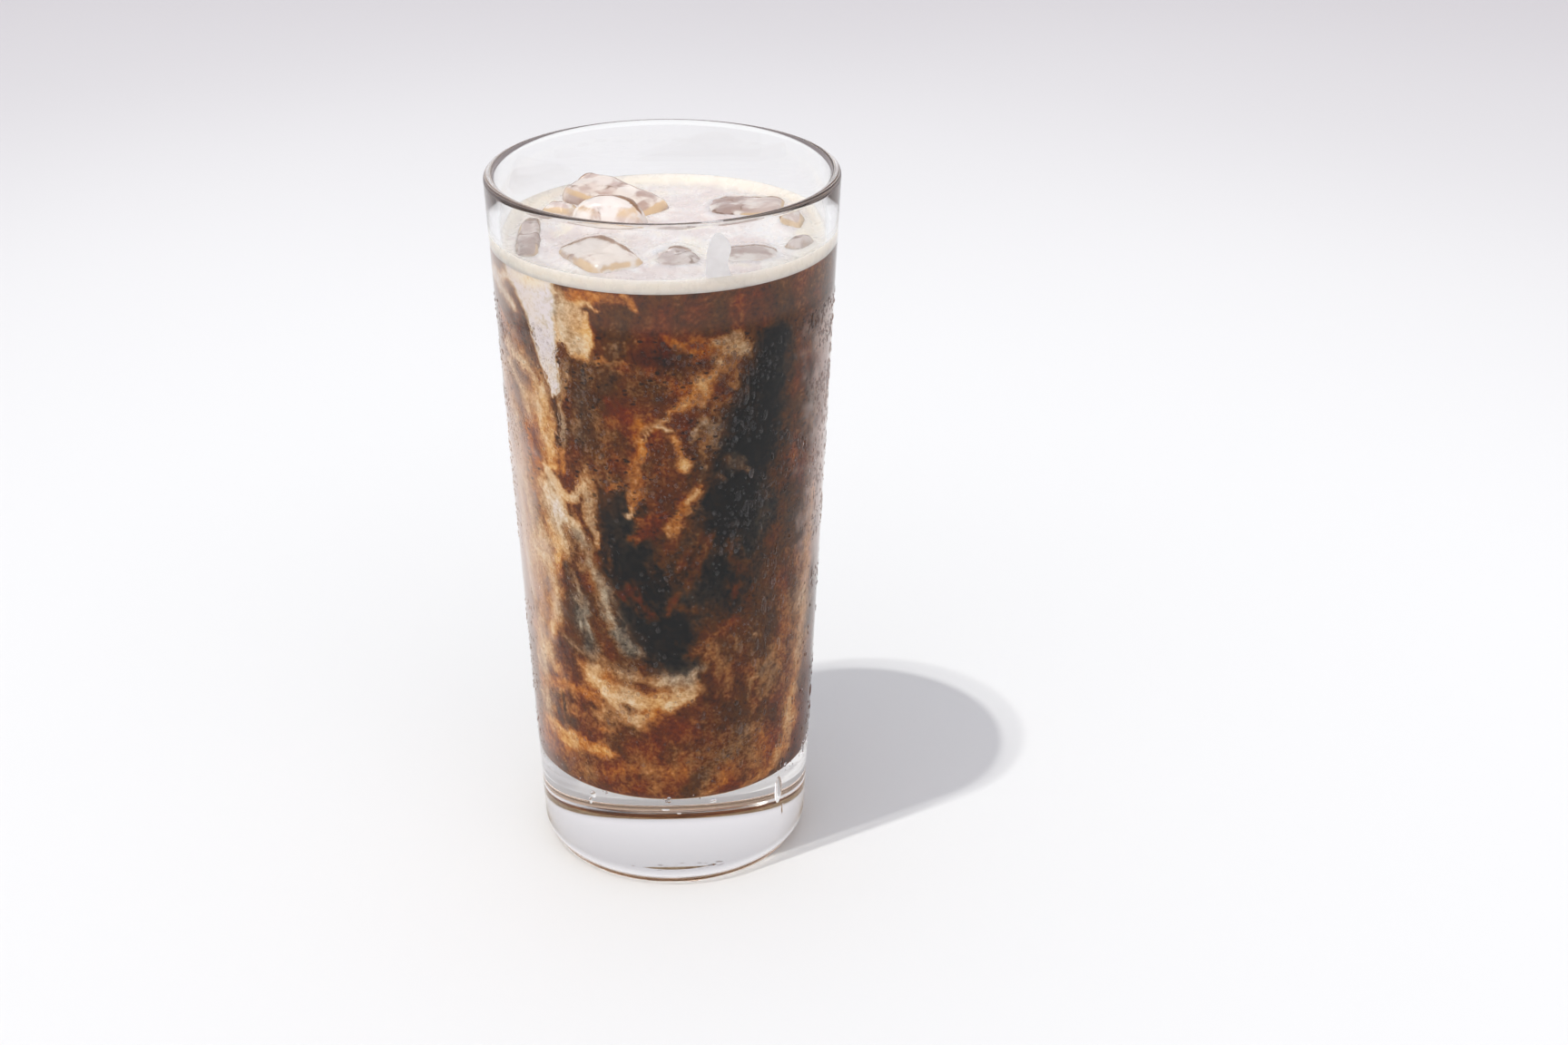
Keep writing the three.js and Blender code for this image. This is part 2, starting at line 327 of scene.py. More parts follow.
# The strokes in the order that they lie over each other. Each has its milk (0 is black coffee and 1
# is milk), warmth (0 is grey and 1 orange), softness of the edge, cover and tear. Then comes its
# route, as degrees from the front towards +X, height and half width in mm.
STROKES = (
    # Broad tones
    # Partly painted light: this pale stroke down the left edge is milk and a painted sheen of lit mist
    (0.7, 0.45, 1.2, 0.9, 0.3,
     ((-77, 116, 6), (-68, 97.5, 7.25), (-62, 77.5, 7.5), (-66, 50, 7.25), (-65, 32, 5.5))),
    (0.36, 0.8, 1.2, 0.95, 0.3,
     ((-63, 28, 12), (-21, 28.5, 12), (10, 29, 12), (41, 29.5, 11), (55, 35.5, 8))),
    (0.36, 0.6, 1.2, 0.9, 0.4, ((54, 74, 6), (52, 56.5, 8.75), (40, 43.5, 11), (22, 37, 12))),
    (0.26, 0.5, 1, 0.9, 0.4, ((-23, 125, 11.25), (-23, 109, 10.75), (-23, 94.5, 9.25))),
    (0.25, 0.7, 1, 0.8, 0.5, ((-5, 110, 10.5), (-4, 95.5, 9.5), (-8, 85, 7.25))),
    # Partly painted light: this grey stroke down the right edge is milk and a painted reflection at the
    # grazing wall
    (0.5, 0.08, 3, 0.85, 0.15,
     ((66, 119.5, 4.5), (64, 109.5, 4), (63, 99.5, 4.5), (64, 86.5, 4), (63, 74, 3.5))),
    (0, 0.05, 0.8, 1, 0.2,
     ((41, 127.5, 6), (36, 115, 9.25), (32, 105.5, 11.5), (27, 95.5, 12.75), (24, 85.5, 12.75),
      (21, 77, 9.5))),
    (0, 0.05, 0.8, 1, 0.3,
     ((-16, 90, 7.5), (-14, 78, 11.25), (-9, 68.5, 12), (-1, 60.5, 10), (6, 54.5, 5.5))),
    (0.02, 0.1, 1, 0.95, 0.3, ((11, 76, 10), (26, 72.5, 9.25))),
    (0.08, 0.3, 1, 0.8, 0.4, ((-26, 95.5, 3.5), (-22, 90.5, 5.5), (-21, 84, 5.5))),
    # The plain band under the cream
    (0.2, 0.5, 0.8, 0.95, 0.05, ((-67, 129.5, 5.5), (-29, 133.5, 5.5), (-13, 134, 5.5), (2, 135, 5.5))),
    (0.22, 0.6, 1, 0.97, 0.05, ((3, 136.5, 6), (14, 136, 6), (27, 135.5, 6))),
    (0.17, 0.5, 0.8, 0.9, 0.05, ((36, 134.5, 5.5), (50, 134.5, 5.25), (71, 134.5, 4.5))),
    # The tongue of milk at the upper left
    (0.42, 0.85, 1, 0.9, 0.4, ((-75, 127.5, 2.75), (-67, 125.5, 3.5), (-58, 122.5, 2.5))),
    (0.97, 0.03, 0.35, 1, 0.05,
     ((-52, 141.5, 8.5), (-48, 136, 6.5), (-47, 132, 4.75), (-46, 127, 3.5), (-45, 122.5, 3),
      (-43, 118.5, 2), (-42, 115, 0.75))),
    (0.97, 0.5, 1, 0.85, 0.15, ((-83, 135, 2.5), (-57, 139, 3), (-41, 141, 3.25))),
    (0.8, 0.5, 0.8, 0.7, 0.4, ((-40, 138.5, 1.5), (-37, 138, 2.5), (-35, 136.5, 2.25))),
    (0.52, 0.95, 0.7, 0.9, 0.4, ((-33, 139, 1.75), (-28, 139, 2.5), (-24, 138.5, 2))),
    (0.68, 0.42, 0.3, 1, 0.06, ((-33, 134.5, 3.5), (-33, 131, 4.25), (-32, 127, 2.5))),
    (0.86, 0.75, 0.6, 0.9, 0.1,
     ((-27, 135, 0.75), (-27, 132, 1.25), (-28, 128.5, 1.25), (-29, 125.5, 1))),
    (0.84, 0.5, 0.7, 0.8, 0.1, ((-40, 133.5, 0.5), (-40, 131, 0.5), (-39, 128, 0.5))),
    (0.62, 0.9, 0.7, 0.8, 0.3, ((-32, 125.5, 1.25), (-29, 125, 1))),
    (0.84, 0.7, 0.6, 0.9, 0.3, ((-30, 137, 0.5), (-25, 137, 0.5), (-23, 136, 0.5))),
    (0.42, 0.95, 1, 0.8, 0.5, ((-19, 140, 2.25), (-15, 139.5, 2))),
    (0.66, 0.9, 0.7, 0.9, 0.4, ((-13, 140.5, 1.5), (-12, 139, 1.75), (-10, 136.5, 0.75))),
    (0.34, 1, 1.2, 0.8, 0.4, ((24, 139, 1.75), (24, 136, 2.25), (24, 131.5, 1.75))),
    (0.93, 0.15, 1, 0.95, 0.1, ((-78, 136, 3.5), (-68, 134, 2.75), (-62, 131.5, 1.75))),
    # The column below it
    (0.85, 0.6, 1.2, 0.95, 0.25,
     ((-70, 122, 3.25), (-59, 120.5, 3.5), (-52, 118.5, 4.5), (-47, 115, 3.5))),
    (0.82, 0.72, 1.2, 0.95, 0.2,
     ((-53, 113, 4.75), (-50, 107.5, 4.75), (-48, 101.5, 4.5), (-48, 97.5, 2.75))),
    (0.3, 0.9, 0.8, 0.7, 0.5, ((-53, 119.5, 0.75), (-50, 117.5, 1.25))),
    (0.68, 0.6, 1.2, 0.95, 0.2, ((-69, 118, 3), (-61, 113.5, 3.25), (-58, 107.5, 3))),
    (0.72, 0.9, 0.8, 0.9, 0.4, ((-48, 113, 2.5), (-47, 108, 2.5), (-47, 103.5, 2.5), (-46, 99, 2))),
    (0.86, 0.65, 1, 0.8, 0.4, ((-48, 105.5, 1.5), (-46, 101.5, 1.5))),
    (0.5, 0.95, 0.8, 0.8, 0.4, ((-60, 106, 1.25), (-59, 101.5, 1.5), (-54, 98, 1.5))),
    (0.6, 0.3, 0.8, 0.8, 0.5,
     ((-37, 124, 1.5), (-38, 118.5, 1.5), (-40, 113, 1.25), (-40, 108, 1), (-39, 103.5, 1))),
    (0.08, 0.5, 0.6, 0.8, 0.3, ((-42, 115, 0.5), (-42, 110.5, 0.5), (-43, 104.5, 0.5))),
    (0.6, 0.9, 0.7, 0.85, 0.3, ((-41, 103.5, 1), (-41, 98.5, 1))),
    # Partly painted light: this pale stroke at the left edge is milk and a painted sheen of lit mist
    (0.97, 0.12, 1.4, 0.95, 0.15,
     ((-89, 101, 4.75), (-74, 92, 3.5), (-72, 79.5, 3.75), (-71, 64.5, 2.75))),
    # The pale field, and the maroon pocket in it
    (0.92, 0.5, 1.4, 0.98, 0.2, ((-52, 92.5, 6.5), (-47, 86, 6), (-44, 80, 5.5))),
    (0.84, 0.45, 1, 0.85, 0.4, ((-45, 90.5, 4), (-39, 87.5, 4), (-35, 84.5, 2.75))),
    (0.8, 0.75, 1, 0.8, 0.5, ((-51, 84, 2), (-48, 79.5, 2.5), (-48, 74, 2))),
    (0.5, 0.4, 1, 0.7, 0.7, ((-33, 83, 2.5), (-36, 78, 2.5))),
    (0.2, 0.7, 0.5, 1, 0.25, ((-35, 106, 2.25), (-36, 101.5, 2.5), (-38, 97.5, 2.25), (-39, 95.5, 1.5))),
    (0.73, 0.5, 0.5, 1, 0.12,
     ((-51, 98.5, 1), (-46, 95.5, 1.5), (-42, 93, 1.75), (-37, 93, 1.75), (-33, 96, 1.5),
      (-31, 100.5, 0.75))),
    (0.63, 0.4, 0.6, 1, 0.3,
     ((-30, 98, 1.25), (-31, 93.5, 2.25), (-31, 89.5, 2.5), (-29, 86, 1.5), (-28, 83, 0.75))),
    # Left of the middle
    (0.36, 0.45, 1, 0.8, 0.7, ((-31, 118, 3), (-30, 110.5, 4), (-29, 100, 3.5))),
    (0.28, 0.95, 1, 0.85, 0.6, ((-20, 117, 2.75), (-16, 113.5, 4), (-12, 109.5, 3))),
    (0.52, 0.8, 0.7, 0.8, 0.4, ((-24, 125, 0.75), (-22, 126, 1.25), (-20, 125.5, 0.75))),
    (0.38, 0.9, 0.8, 0.8, 0.6, ((-19, 124, 1.5), (-14, 124, 1.5))),
    (0.5, 0.5, 0.8, 0.8, 0.6, ((-24, 128.5, 0.5), (-17, 128.5, 0.75))),
    (0.36, 0.95, 0.8, 0.8, 0.5, ((-7, 126, 1.5), (-5, 124, 1.5))),
    (0.25, 0.9, 0.9, 0.8, 0.5, ((-20, 102.5, 2), (-17, 101, 2.25))),
    (0.38, 0.9, 0.8, 0.8, 0.5, ((-23, 96.5, 0.75), (-17, 98, 1), (-13, 99.5, 1))),
    # The middle
    (0.28, 0.9, 1, 0.85, 0.6, ((-4, 110.5, 3.25), (-1, 105.5, 3.5), (-2, 102, 2.5))),
    (0.5, 0.9, 0.7, 0.9, 0.5, ((-10, 112.5, 1.5), (-9, 108, 2.25), (-10, 104, 1.5))),
    (0.74, 0.85, 1, 0.8, 0.4, ((-9, 108.5, 1), (-10, 105, 1.25))),
    (0.5, 0.5, 0.8, 0.8, 0.6, ((-12, 107.5, 0.5), (-7, 111.5, 1), (-1, 113.5, 1))),
    (0.7, 0.4, 0.8, 0.9, 0.15,
     ((-8, 108.5, 0.5), (-6, 110.5, 0.5), (-3, 111.5, 0.5), (0, 111, 0.5), (4, 110.5, 0.5))),
    (0.62, 0.9, 0.8, 1, 0.15, ((2, 109.5, 1), (4, 106.5, 1.5), (6, 103.5, 2.25), (6, 102.5, 2))),
    (0.74, 0.8, 1, 0.9, 0.1, ((5, 104, 1.25), (7, 102.5, 1.5))),
    (0.5, 0.9, 0.8, 0.95, 0.4, ((-11, 104, 1.5), (-11, 99.5, 2.5), (-12, 95.5, 2.5), (-14, 93, 1.25))),
    (0.68, 0.6, 0.8, 0.9, 0.2, ((-14, 93, 0.5), (-16, 91, 1))),
    (0.24, 0.92, 1, 0.9, 0.7, ((-11, 85.5, 2.75), (-6, 89.5, 4), (0, 89.5, 3.25), (-2, 85, 3.5))),
    (0.48, 0.85, 0.8, 0.95, 0.42,
     ((11, 98, 1.5), (8, 95.5, 2.5), (5, 93, 2.5), (3, 90, 2), (0, 87.5, 1.75))),
    (0.74, 0.7, 1, 0.8, 0.4, ((10, 97, 1), (6, 94, 1))),
    (0.42, 0.3, 0.8, 0.8, 0.6, ((13, 102.5, 1), (11, 98.5, 1))),
    # The plume at the upper right
    (0.42, 0.95, 1, 0.85, 0.6, ((2, 131, 1.75), (7, 129.5, 2.75), (13, 128.5, 3), (18, 126, 2.5))),
    (0.34, 0.95, 1, 0.8, 0.5, ((3, 121.5, 3.25), (9, 119.5, 3.5))),
    (0.4, 0.7, 1, 0.85, 0.5, ((25, 123.5, 2), (22, 120.5, 2.5), (20, 117.5, 2.5), (16, 115, 2))),
    (0.58, 0.45, 0.8, 0.9, 0.5, ((19, 129, 2.25), (24, 130, 2), (29, 127, 2), (30, 125, 1.5))),
    (0.5, 0.65, 0.8, 0.95, 0.42, ((24, 126.5, 3), (19, 123.5, 4), (13, 120, 3.5), (10, 116.5, 2))),
    (0.62, 0.68, 0.9, 0.95, 0.3, ((18, 124.5, 1.5), (14, 121, 2.5), (10, 118, 2))),
    (0.52, 0.8, 0.7, 1, 0.25, ((10, 118.5, 1.5), (6, 116.5, 2.25), (1, 115, 1.5))),
    (0.55, 0.75, 1, 0.9, 0.25, ((5, 116, 1), (2, 115, 1))),
    # Wisps at the edge of the dark
    (0.4, 0.3, 1, 0.85, 0.7, ((9, 109, 1.5), (11, 112, 1.75), (17, 110.5, 2.5), (15, 106.5, 2.5))),
    (0.6, 0.25, 0.7, 0.8, 0.4, ((8, 108, 0.5), (10, 111, 0.75), (13, 112.5, 0.75))),
    (0.42, 0.7, 0.9, 0.8, 0.6, ((13, 108.5, 1.5), (14, 104.5, 1.5))),
    (0.36, 0.25, 0.9, 0.9, 0.55, ((21, 103.5, 1.5), (25, 101.5, 2.5), (29, 100, 1.5))),
    (0.3, 0.25, 0.9, 0.9, 0.5, ((18, 100, 1), (21, 98.5, 1))),
    # Brown patches in the dark
    (0.26, 0.85, 1.1, 0.8, 0.6, ((14, 84.5, 3.5), (9, 79.5, 4.5), (6, 75, 2.75))),
    (0.26, 0.95, 1, 0.8, 0.5, ((3, 73.5, 1.5), (0, 70.5, 1.75), (-2, 67.5, 1.25))),
    (0.22, 0.75, 1.1, 0.8, 0.6, ((26, 83, 3.25), (28, 77, 4), (25, 72, 2.5))),
    (0.16, 0.95, 1.1, 0.85, 0.6, ((-16, 73, 3.5), (-8, 67.5, 3))),
    (0.34, 0.85, 1.1, 0.9, 0.5, ((10, 58, 3.5), (16, 62.5, 4), (24, 64, 3.5))),
    # The loop at the lower left
    (0.93, 0.5, 1.4, 0.95, 0.15, ((-55, 79, 6), (-51, 71, 4.5), (-51, 64.5, 4), (-55, 57, 3.25))),
    (0.84, 0.65, 1.4, 0.95, 0.2, ((-64, 55, 6), (-59, 51.5, 4.5), (-52, 48.5, 2.75))),
    (0.3, 0, 1.4, 0.9, 0.45, ((-43, 76.5, 1.5), (-41, 71, 3), (-39, 64, 3.5), (-35, 59, 3))),
    (0.48, 0.1, 0.8, 0.85, 0.8, ((-41, 74, 2.5), (-39, 68.5, 2.25), (-36, 63, 2.25))),
    (0.5, -0.1, 1.4, 1, 0.3,
     ((-36, 84.5, 3.5), (-33, 79.5, 3.5), (-28, 74, 4), (-25, 66.5, 4.25), (-19, 61, 3.5),
      (-13, 58, 2.5))),
    (0.54, 0.05, 1.4, 0.8, 0.3,
     ((-35, 83.5, 1.25), (-31, 78, 1.25), (-27, 72.5, 1.5), (-24, 66.5, 1.25), (-21, 62.5, 0.75))),
    (0.46, 0.3, 1.3, 0.95, 0.3,
     ((-48, 58, 2.75), (-39, 56, 3.25), (-31, 55, 3.5), (-19, 53.5, 3.5), (-6, 52, 3.5), (6, 53, 3.25),
      (13, 55, 2))),
    (0.56, 0.4, 1, 0.85, 0.4, ((-35, 54, 1.5), (-19, 52.5, 1.75), (-4, 51, 1.75), (9, 53.5, 1.5))),
    (0.78, 0.65, 1.4, 0.98, 0.2, ((-33, 51, 4.75), (-16, 47.5, 4.75), (-1, 47, 4.5), (10, 50.5, 2.75))),
    (0.8, 0.62, 1.3, 0.95, 0.15,
     ((-40, 52.5, 2.75), (-33, 49.5, 3.5), (-26, 46, 3.75), (-20, 42.5, 2.5), (-15, 40, 1.25))),
    (0.76, 0.65, 1.3, 0.95, 0.2, ((-22, 47.5, 2.5), (-12, 45.5, 2.5), (-1, 45.5, 2.5), (8, 48, 1.75))),
    (0.5, 0.8, 0.8, 0.9, 0.45, ((-68, 43.5, 2.5), (-49, 46, 2.5), (-37, 45.5, 2.5), (-30, 43.5, 1.5))),
    (0.48, 0.8, 1, 0.85, 0.5, ((-52, 40, 2.5), (-37, 40, 3.5), (-29, 38.5, 2.75))),
    (0.2, 0.6, 1, 0.7, 0.6, ((-39, 38.5, 2.5), (-29, 41, 2.5))),
    (0.1, 0.3, 0.7, 0.7, 0.4, ((-52, 43, 0.5), (-52, 38.5, 1))),
    (0.67, 1, 0.9, 0.95, 0.3, ((-66, 33.5, 2.5), (-55, 32.5, 3.75), (-44, 32, 3.75), (-28, 32.5, 2.5))),
    (0.62, 0.75, 1.2, 0.85, 0.4, ((-33, 42, 2.5), (-20, 41, 3.5), (-6, 43, 2.5))),
    (0.56, 0.72, 1.1, 0.85, 0.4, ((60, 43.5, 2.75), (57, 32.5, 4), (49, 24.5, 3.5))),
    (0.36, 0.7, 1.1, 0.8, 0.5, ((17, 59, 2.75), (22, 50.5, 3.5), (19, 42, 3))),
    (0.03, 0.8, 1, 0.95, 0.4, ((-9, 127, 3), (-3, 126.5, 3.75), (3, 125.5, 2.75))),
    # The bottom
    (0.3, 0.5, 1, 0.8, 0.6, ((23, 32, 3.25), (13, 28.5, 3.25), (4, 25, 2.5))),
    (0.54, 0.7, 1, 0.8, 0.6, ((33, 22.5, 2.25), (44, 22.5, 2.25))),
    (0.5, 0.7, 1, 0.8, 0.6, ((13, 23, 2.25), (21, 25, 2.25))),
    # The right side, and last a leaf at the top of the plume
    (0.42, 0.35, 0.9, 0.8, 0.5, ((41, 52.5, 0.75), (38, 50, 1), (34, 49, 1.25), (32, 45.5, 1))),
    (0.42, 0.4, 0.9, 0.8, 0.5, ((26, 60.5, 0.75), (28, 57.5, 0.75))),
    (0.58, 0.6, 0.8, 0.7, 0.5, ((35, 60.5, 0.75), (39, 59.5, 0.75))),
    (0.17, 0.5, 1, 0.8, 0.6, ((42, 76.5, 3.25), (41, 63.5, 3.5), (38, 55, 3))),
    (0.2, 0.5, 1, 0.7, 0.7, ((31, 42.5, 3.25), (20, 39.5, 2.75))),
    # Partly painted light: this pale stroke down the right side is milk and a painted sheen of the mist
    (0.72, 0.7, 1.5, 0.9, 0.1,
     ((68, 87.5, 3.5), (66, 66.5, 5.25), (64, 53.5, 5.5), (60, 41, 5.25), (58, 27.5, 4))),
    (0.62, 0.5, 0.8, 0.95, 0.3, ((22, 127.5, 1.5), (25, 129, 2), (28, 126.5, 1.5))),
)


def round_wall(flat):
    """Points of the unrolled wall, laid back round the glass."""
    angle = flat[:, 0] / MEAN_RADIUS
    return np.column_stack((MEAN_RADIUS * np.sin(angle), -MEAN_RADIUS * np.cos(angle), flat[:, 1]))


def drift(flat):
    """Carries points of the unrolled wall along eddies, as milk is."""
    flat = flat.copy()
    for _ in range(DRIFT_STEPS):
        move = np.zeros_like(flat)
        for size, strength, shift in EDDIES:
            here = lumps(round_wall(flat), size, shift)
            beside = lumps(round_wall(flat + (DRIFT_PROBE, 0)), size, shift)
            above = lumps(round_wall(flat + (0, DRIFT_PROBE)), size, shift)
            turn = strength * size / (DRIFT_STEPS * DRIFT_PROBE)
            move[:, 0] += turn * (above - here)
            move[:, 1] -= turn * (beside - here)
        flat += move
    return flat


def reach(flat, route):
    """How deep in a stroke each point is, 1 on its line and 0 at its edge, and its place along the
    stroke and to its side in mm."""
    depth = np.full(len(flat), -1e9)
    along = np.zeros(len(flat))
    side = np.zeros(len(flat))
    done = 0.0
    for (x0, y0, w0), (x1, y1, w1) in zip(route, route[1:]):
        dx, dy = x1 - x0, y1 - y0
        length = math.hypot(dx, dy)
        from_x, from_y = flat[:, 0] - x0, flat[:, 1] - y0
        part = np.clip((from_x * dx + from_y * dy) / length**2, 0, 1)
        gap = np.hypot(from_x - part * dx, from_y - part * dy)
        here = 1 - gap / (w0 + part * (w1 - w0))
        nearer = here > depth
        depth = np.where(nearer, here, depth)
        along = np.where(nearer, done + part * length, along)
        side = np.where(nearer, (from_x * dy - from_y * dx) / length, side)
        done += length
    return depth, along, side


def fold(flat):
    """The back of the wall laid over its front, a little higher, for the swirls to run on there."""
    side = MEAN_RADIUS * math.pi / 2
    across, height = flat.T
    behind = np.clip(np.abs(across) - side, 0, None)
    folded = across - 2 * np.sign(across) * behind
    return np.column_stack((folded, height + BACK_RAISE * behind / side))


def mist_sheen_at(around, height):
    """How much the painted sheen of lit mist and grazing reflection pales the drink, from 0 to 1."""
    mist_sheen = 0.8 * smooth(*SHEEN_LEFT, -around) * (1 - 0.4 * smooth(*SHEEN_LEFT_THINS, height))
    right = smooth(*SHEEN_RIGHT, around) * smooth(-MIST_TOP, SHEEN_EDGE - MIST_TOP, -height)
    mist_sheen += 0.85 * right * (0.3 + 0.7 * smooth(*SHEEN_RIGHT_GROWS, height))
    mist_sheen *= 0.35 + 0.65 * smooth(*SHEEN_GROWS, height)
    return mist_sheen + SHEEN_CLEAR_BAND * smooth(MIST_TOP - 1, MIST_TOP + 2, height) * (1 - mist_sheen)


def swirls(angle, height):
    """Milk, warmth, drifted place and painted mist sheen, for points given by angle in degrees and
    height in mm.
    """
    flat = np.column_stack((np.radians(angle) * MEAN_RADIUS, height))
    moved = drift(flat)
    space = round_wall(moved)
    folded = fold(moved)
    ragged = rough(space, RAGGED_SIZE, 20.0, layers=5, loss=0.65)
    marble = rough(space * (1, 1, 0.6), MARBLE_SIZE, 26.0, layers=5, loss=0.7)
    tone = rough(space * (1, 1, 0.7), TONE_SIZE, 33.0, layers=4, loss=0.65)
    milk = np.full(len(flat), PLAIN_MILK)
    warmth = np.full(len(flat), PLAIN_WARMTH)
    for index, (amount, warm, soft, cover, tear, route) in enumerate(STROKES):
        route = [(math.radians(a) * MEAN_RADIUS, z, w) for a, z, w in route]
        depth, along, side = reach(folded, route)
        near = depth > -1.5 * tear - 0.2
        brush = (along / STREAK_LONG, side / STREAK_WIDE, np.full(len(flat), SHIFT_STEP * index))
        streaks = np.zeros(len(flat))
        streaks[near] = rough(np.column_stack(brush)[near], 1.0, loss=0.55)
        share = cover * smooth(0.0, soft, depth + tear * (0.9 * ragged + 0.7 * streaks))
        streaked = amount * (1 + 0.35 * (0.1 + tear) * streaks)
        milk += share * (streaked - milk)
        warmth += share * (warm - warmth)
    milk += (0.03 + 0.24 * np.clip(milk, 0, 1) * (1.2 - milk)) * marble
    warmth += 0.25 * tone
    around = np.degrees(fold(flat)[:, 0] / MEAN_RADIUS) + 7 * ragged
    return np.clip(milk, 0, 1), np.clip(warmth, 0, 1), space, mist_sheen_at(around, height)


# Materials

WALL_GLEAM = 0.03  # light that the glass adds by its own shine
WALL_PASSES = 0.37  # share of the drink's light that the wall lets out
WALL_RETURNS = 0.6  # share that it throws back into the drink


def linear(code):
    """A colour written as six hexadecimal digits, as the shader wants it."""
    parts = [int(code[i : i + 2], 16) / 255 for i in (0, 2, 4)]
    return [p / 12.92 if p <= 0.04045 else ((p + 0.055) / 1.055) ** 2.4 for p in parts]


def under_glass(colour):
    """The colour that milk or coffee needs, for it to show as this one through a wall that it wets.

    Most light that it scatters is thrown back by the wall, so mid tones show darker and stronger.
    """
    shown = [max(part - WALL_GLEAM, 0.0) for part in colour]
    return [min(part / (WALL_PASSES + WALL_RETURNS * part), 0.98) for part in shown]


def node(tree, kind, sockets=(), **settings):
    """Adds a node with its settings. A socket is given a value or another node's output."""
    made = tree.nodes.new(kind)
    for key, value in settings.items():
        setattr(made, key, value)
    for key, value in dict(sockets).items():
        if isinstance(value, bpy.types.NodeSocket):
            tree.links.new(value, made.inputs[key])
        else:
            made.inputs[key].default_value = value
    return made


def maths(tree, operation, first, second=0.0, clamp=False):
    made = node(tree, "ShaderNodeMath", {0: first, 1: second}, operation=operation)
    made.use_clamp = clamp
    return made.outputs[0]


def noise(tree, place, scale, detail=4.0, roughness=0.6, distortion=0.0):
    sockets = {"Vector": place, "Scale": scale, "Detail": detail}
    sockets |= {"Roughness": roughness, "Distortion": distortion}
    return node(tree, "ShaderNodeTexNoise", sockets).outputs["Fac"]


def fade(tree, value, low, high, to_low=0.0, to_high=1.0):
    sockets = {"Value": value, "From Min": low, "From Max": high, "To Min": to_low, "To Max": to_high}
    made = node(tree, "ShaderNodeMapRange", sockets, interpolation_type="SMOOTHSTEP")
    return made.outputs["Result"]


def ramp(tree, value, stops):
    made = node(tree, "ShaderNodeValToRGB", {"Fac": value})
    points = made.color_ramp.elements
    while len(points) < len(stops):
        points.new(0.5)
    for point, (place, colour) in zip(points, stops):
        point.position = place
        point.color = (*colour, 1.0)
    return made.outputs["Color"]


def mix(tree, factor, first, second):
    sockets = {"Factor": factor}
    made = node(tree, "ShaderNodeMix", sockets, data_type="RGBA")
    for index, value in ((6, first), (7, second)):
        if isinstance(value, bpy.types.NodeSocket):
            tree.links.new(value, made.inputs[index])
        else:
            made.inputs[index].default_value = (*value, 1.0)
    return made.outputs[2]


def new_material(name):
    """A material with only its output and a Principled BSDF."""
    material = bpy.data.materials.new(name)
    material.use_nodes = True
    tree = material.node_tree
    tree.nodes.clear()
    shader = node(tree, "ShaderNodeBsdfPrincipled")
    output = node(tree, "ShaderNodeOutputMaterial", {"Surface": shader.outputs[0]})
    return material, tree, shader, output


def object_place(tree):
    return node(tree, "ShaderNodeTexCoord").outputs["Object"]


WATER_IOR = 1.33
ICE_IOR = 1.31
TRAPPED_AFTER = 4.0  # bounces
# painted shade: the trapped light is tinted dark, which paints the dark bands in the rim
TRAPPED_TINT = (0.30, 0.26, 0.26)  # of the light that runs round in the rim
RIM_FROM = 100.0  # mm, from where up to RIM_FULL that tint comes in
RIM_FULL = 145.0
MIST_FROM = 18.0  # mm, from where up to MIST_FULL the mist thickens
MIST_FULL = 45.0


def let_lamps_through(tree, shader, output, face_on, edge_on, trapped_tint=(1.0, 1.0, 1.0)):
    """Clear stuff lets the lamp's rays through, fewer where they meet it edge on.

    A ray that runs on inside the wall is let out too, in the trapped tint, or the rim would be black.
    """
    facing = node(tree, "ShaderNodeLayerWeight", {"Blend": 0.5}).outputs["Facing"]
    steep = maths(tree, "POWER", facing, 3.0)
    path = node(tree, "ShaderNodeLightPath").outputs
    trapped = maths(tree, "GREATER_THAN", path["Ray Depth"], TRAPPED_AFTER)
    colour = mix(tree, steep, (face_on,) * 3, (edge_on,) * 3)
    colour = mix(tree, trapped, colour, trapped_tint)
    clear = node(tree, "ShaderNodeBsdfTransparent", {"Color": colour})
    through = maths(tree, "MAXIMUM", path["Is Shadow Ray"], trapped)
    sockets = {0: through, 1: shader.outputs[0], 2: clear.outputs[0]}
    both = node(tree, "ShaderNodeMixShader", sockets)
    tree.links.new(both.outputs[0], output.inputs["Surface"])


def bump(tree, shader, height, strength, distance):
    sockets = {"Height": height, "Strength": strength, "Distance": distance}
    made = node(tree, "ShaderNodeBump", sockets)
    tree.links.new(made.outputs["Normal"], shader.inputs["Normal"])


def height_of(tree, place):
    return node(tree, "ShaderNodeSeparateXYZ", {0: place}).outputs["Z"]


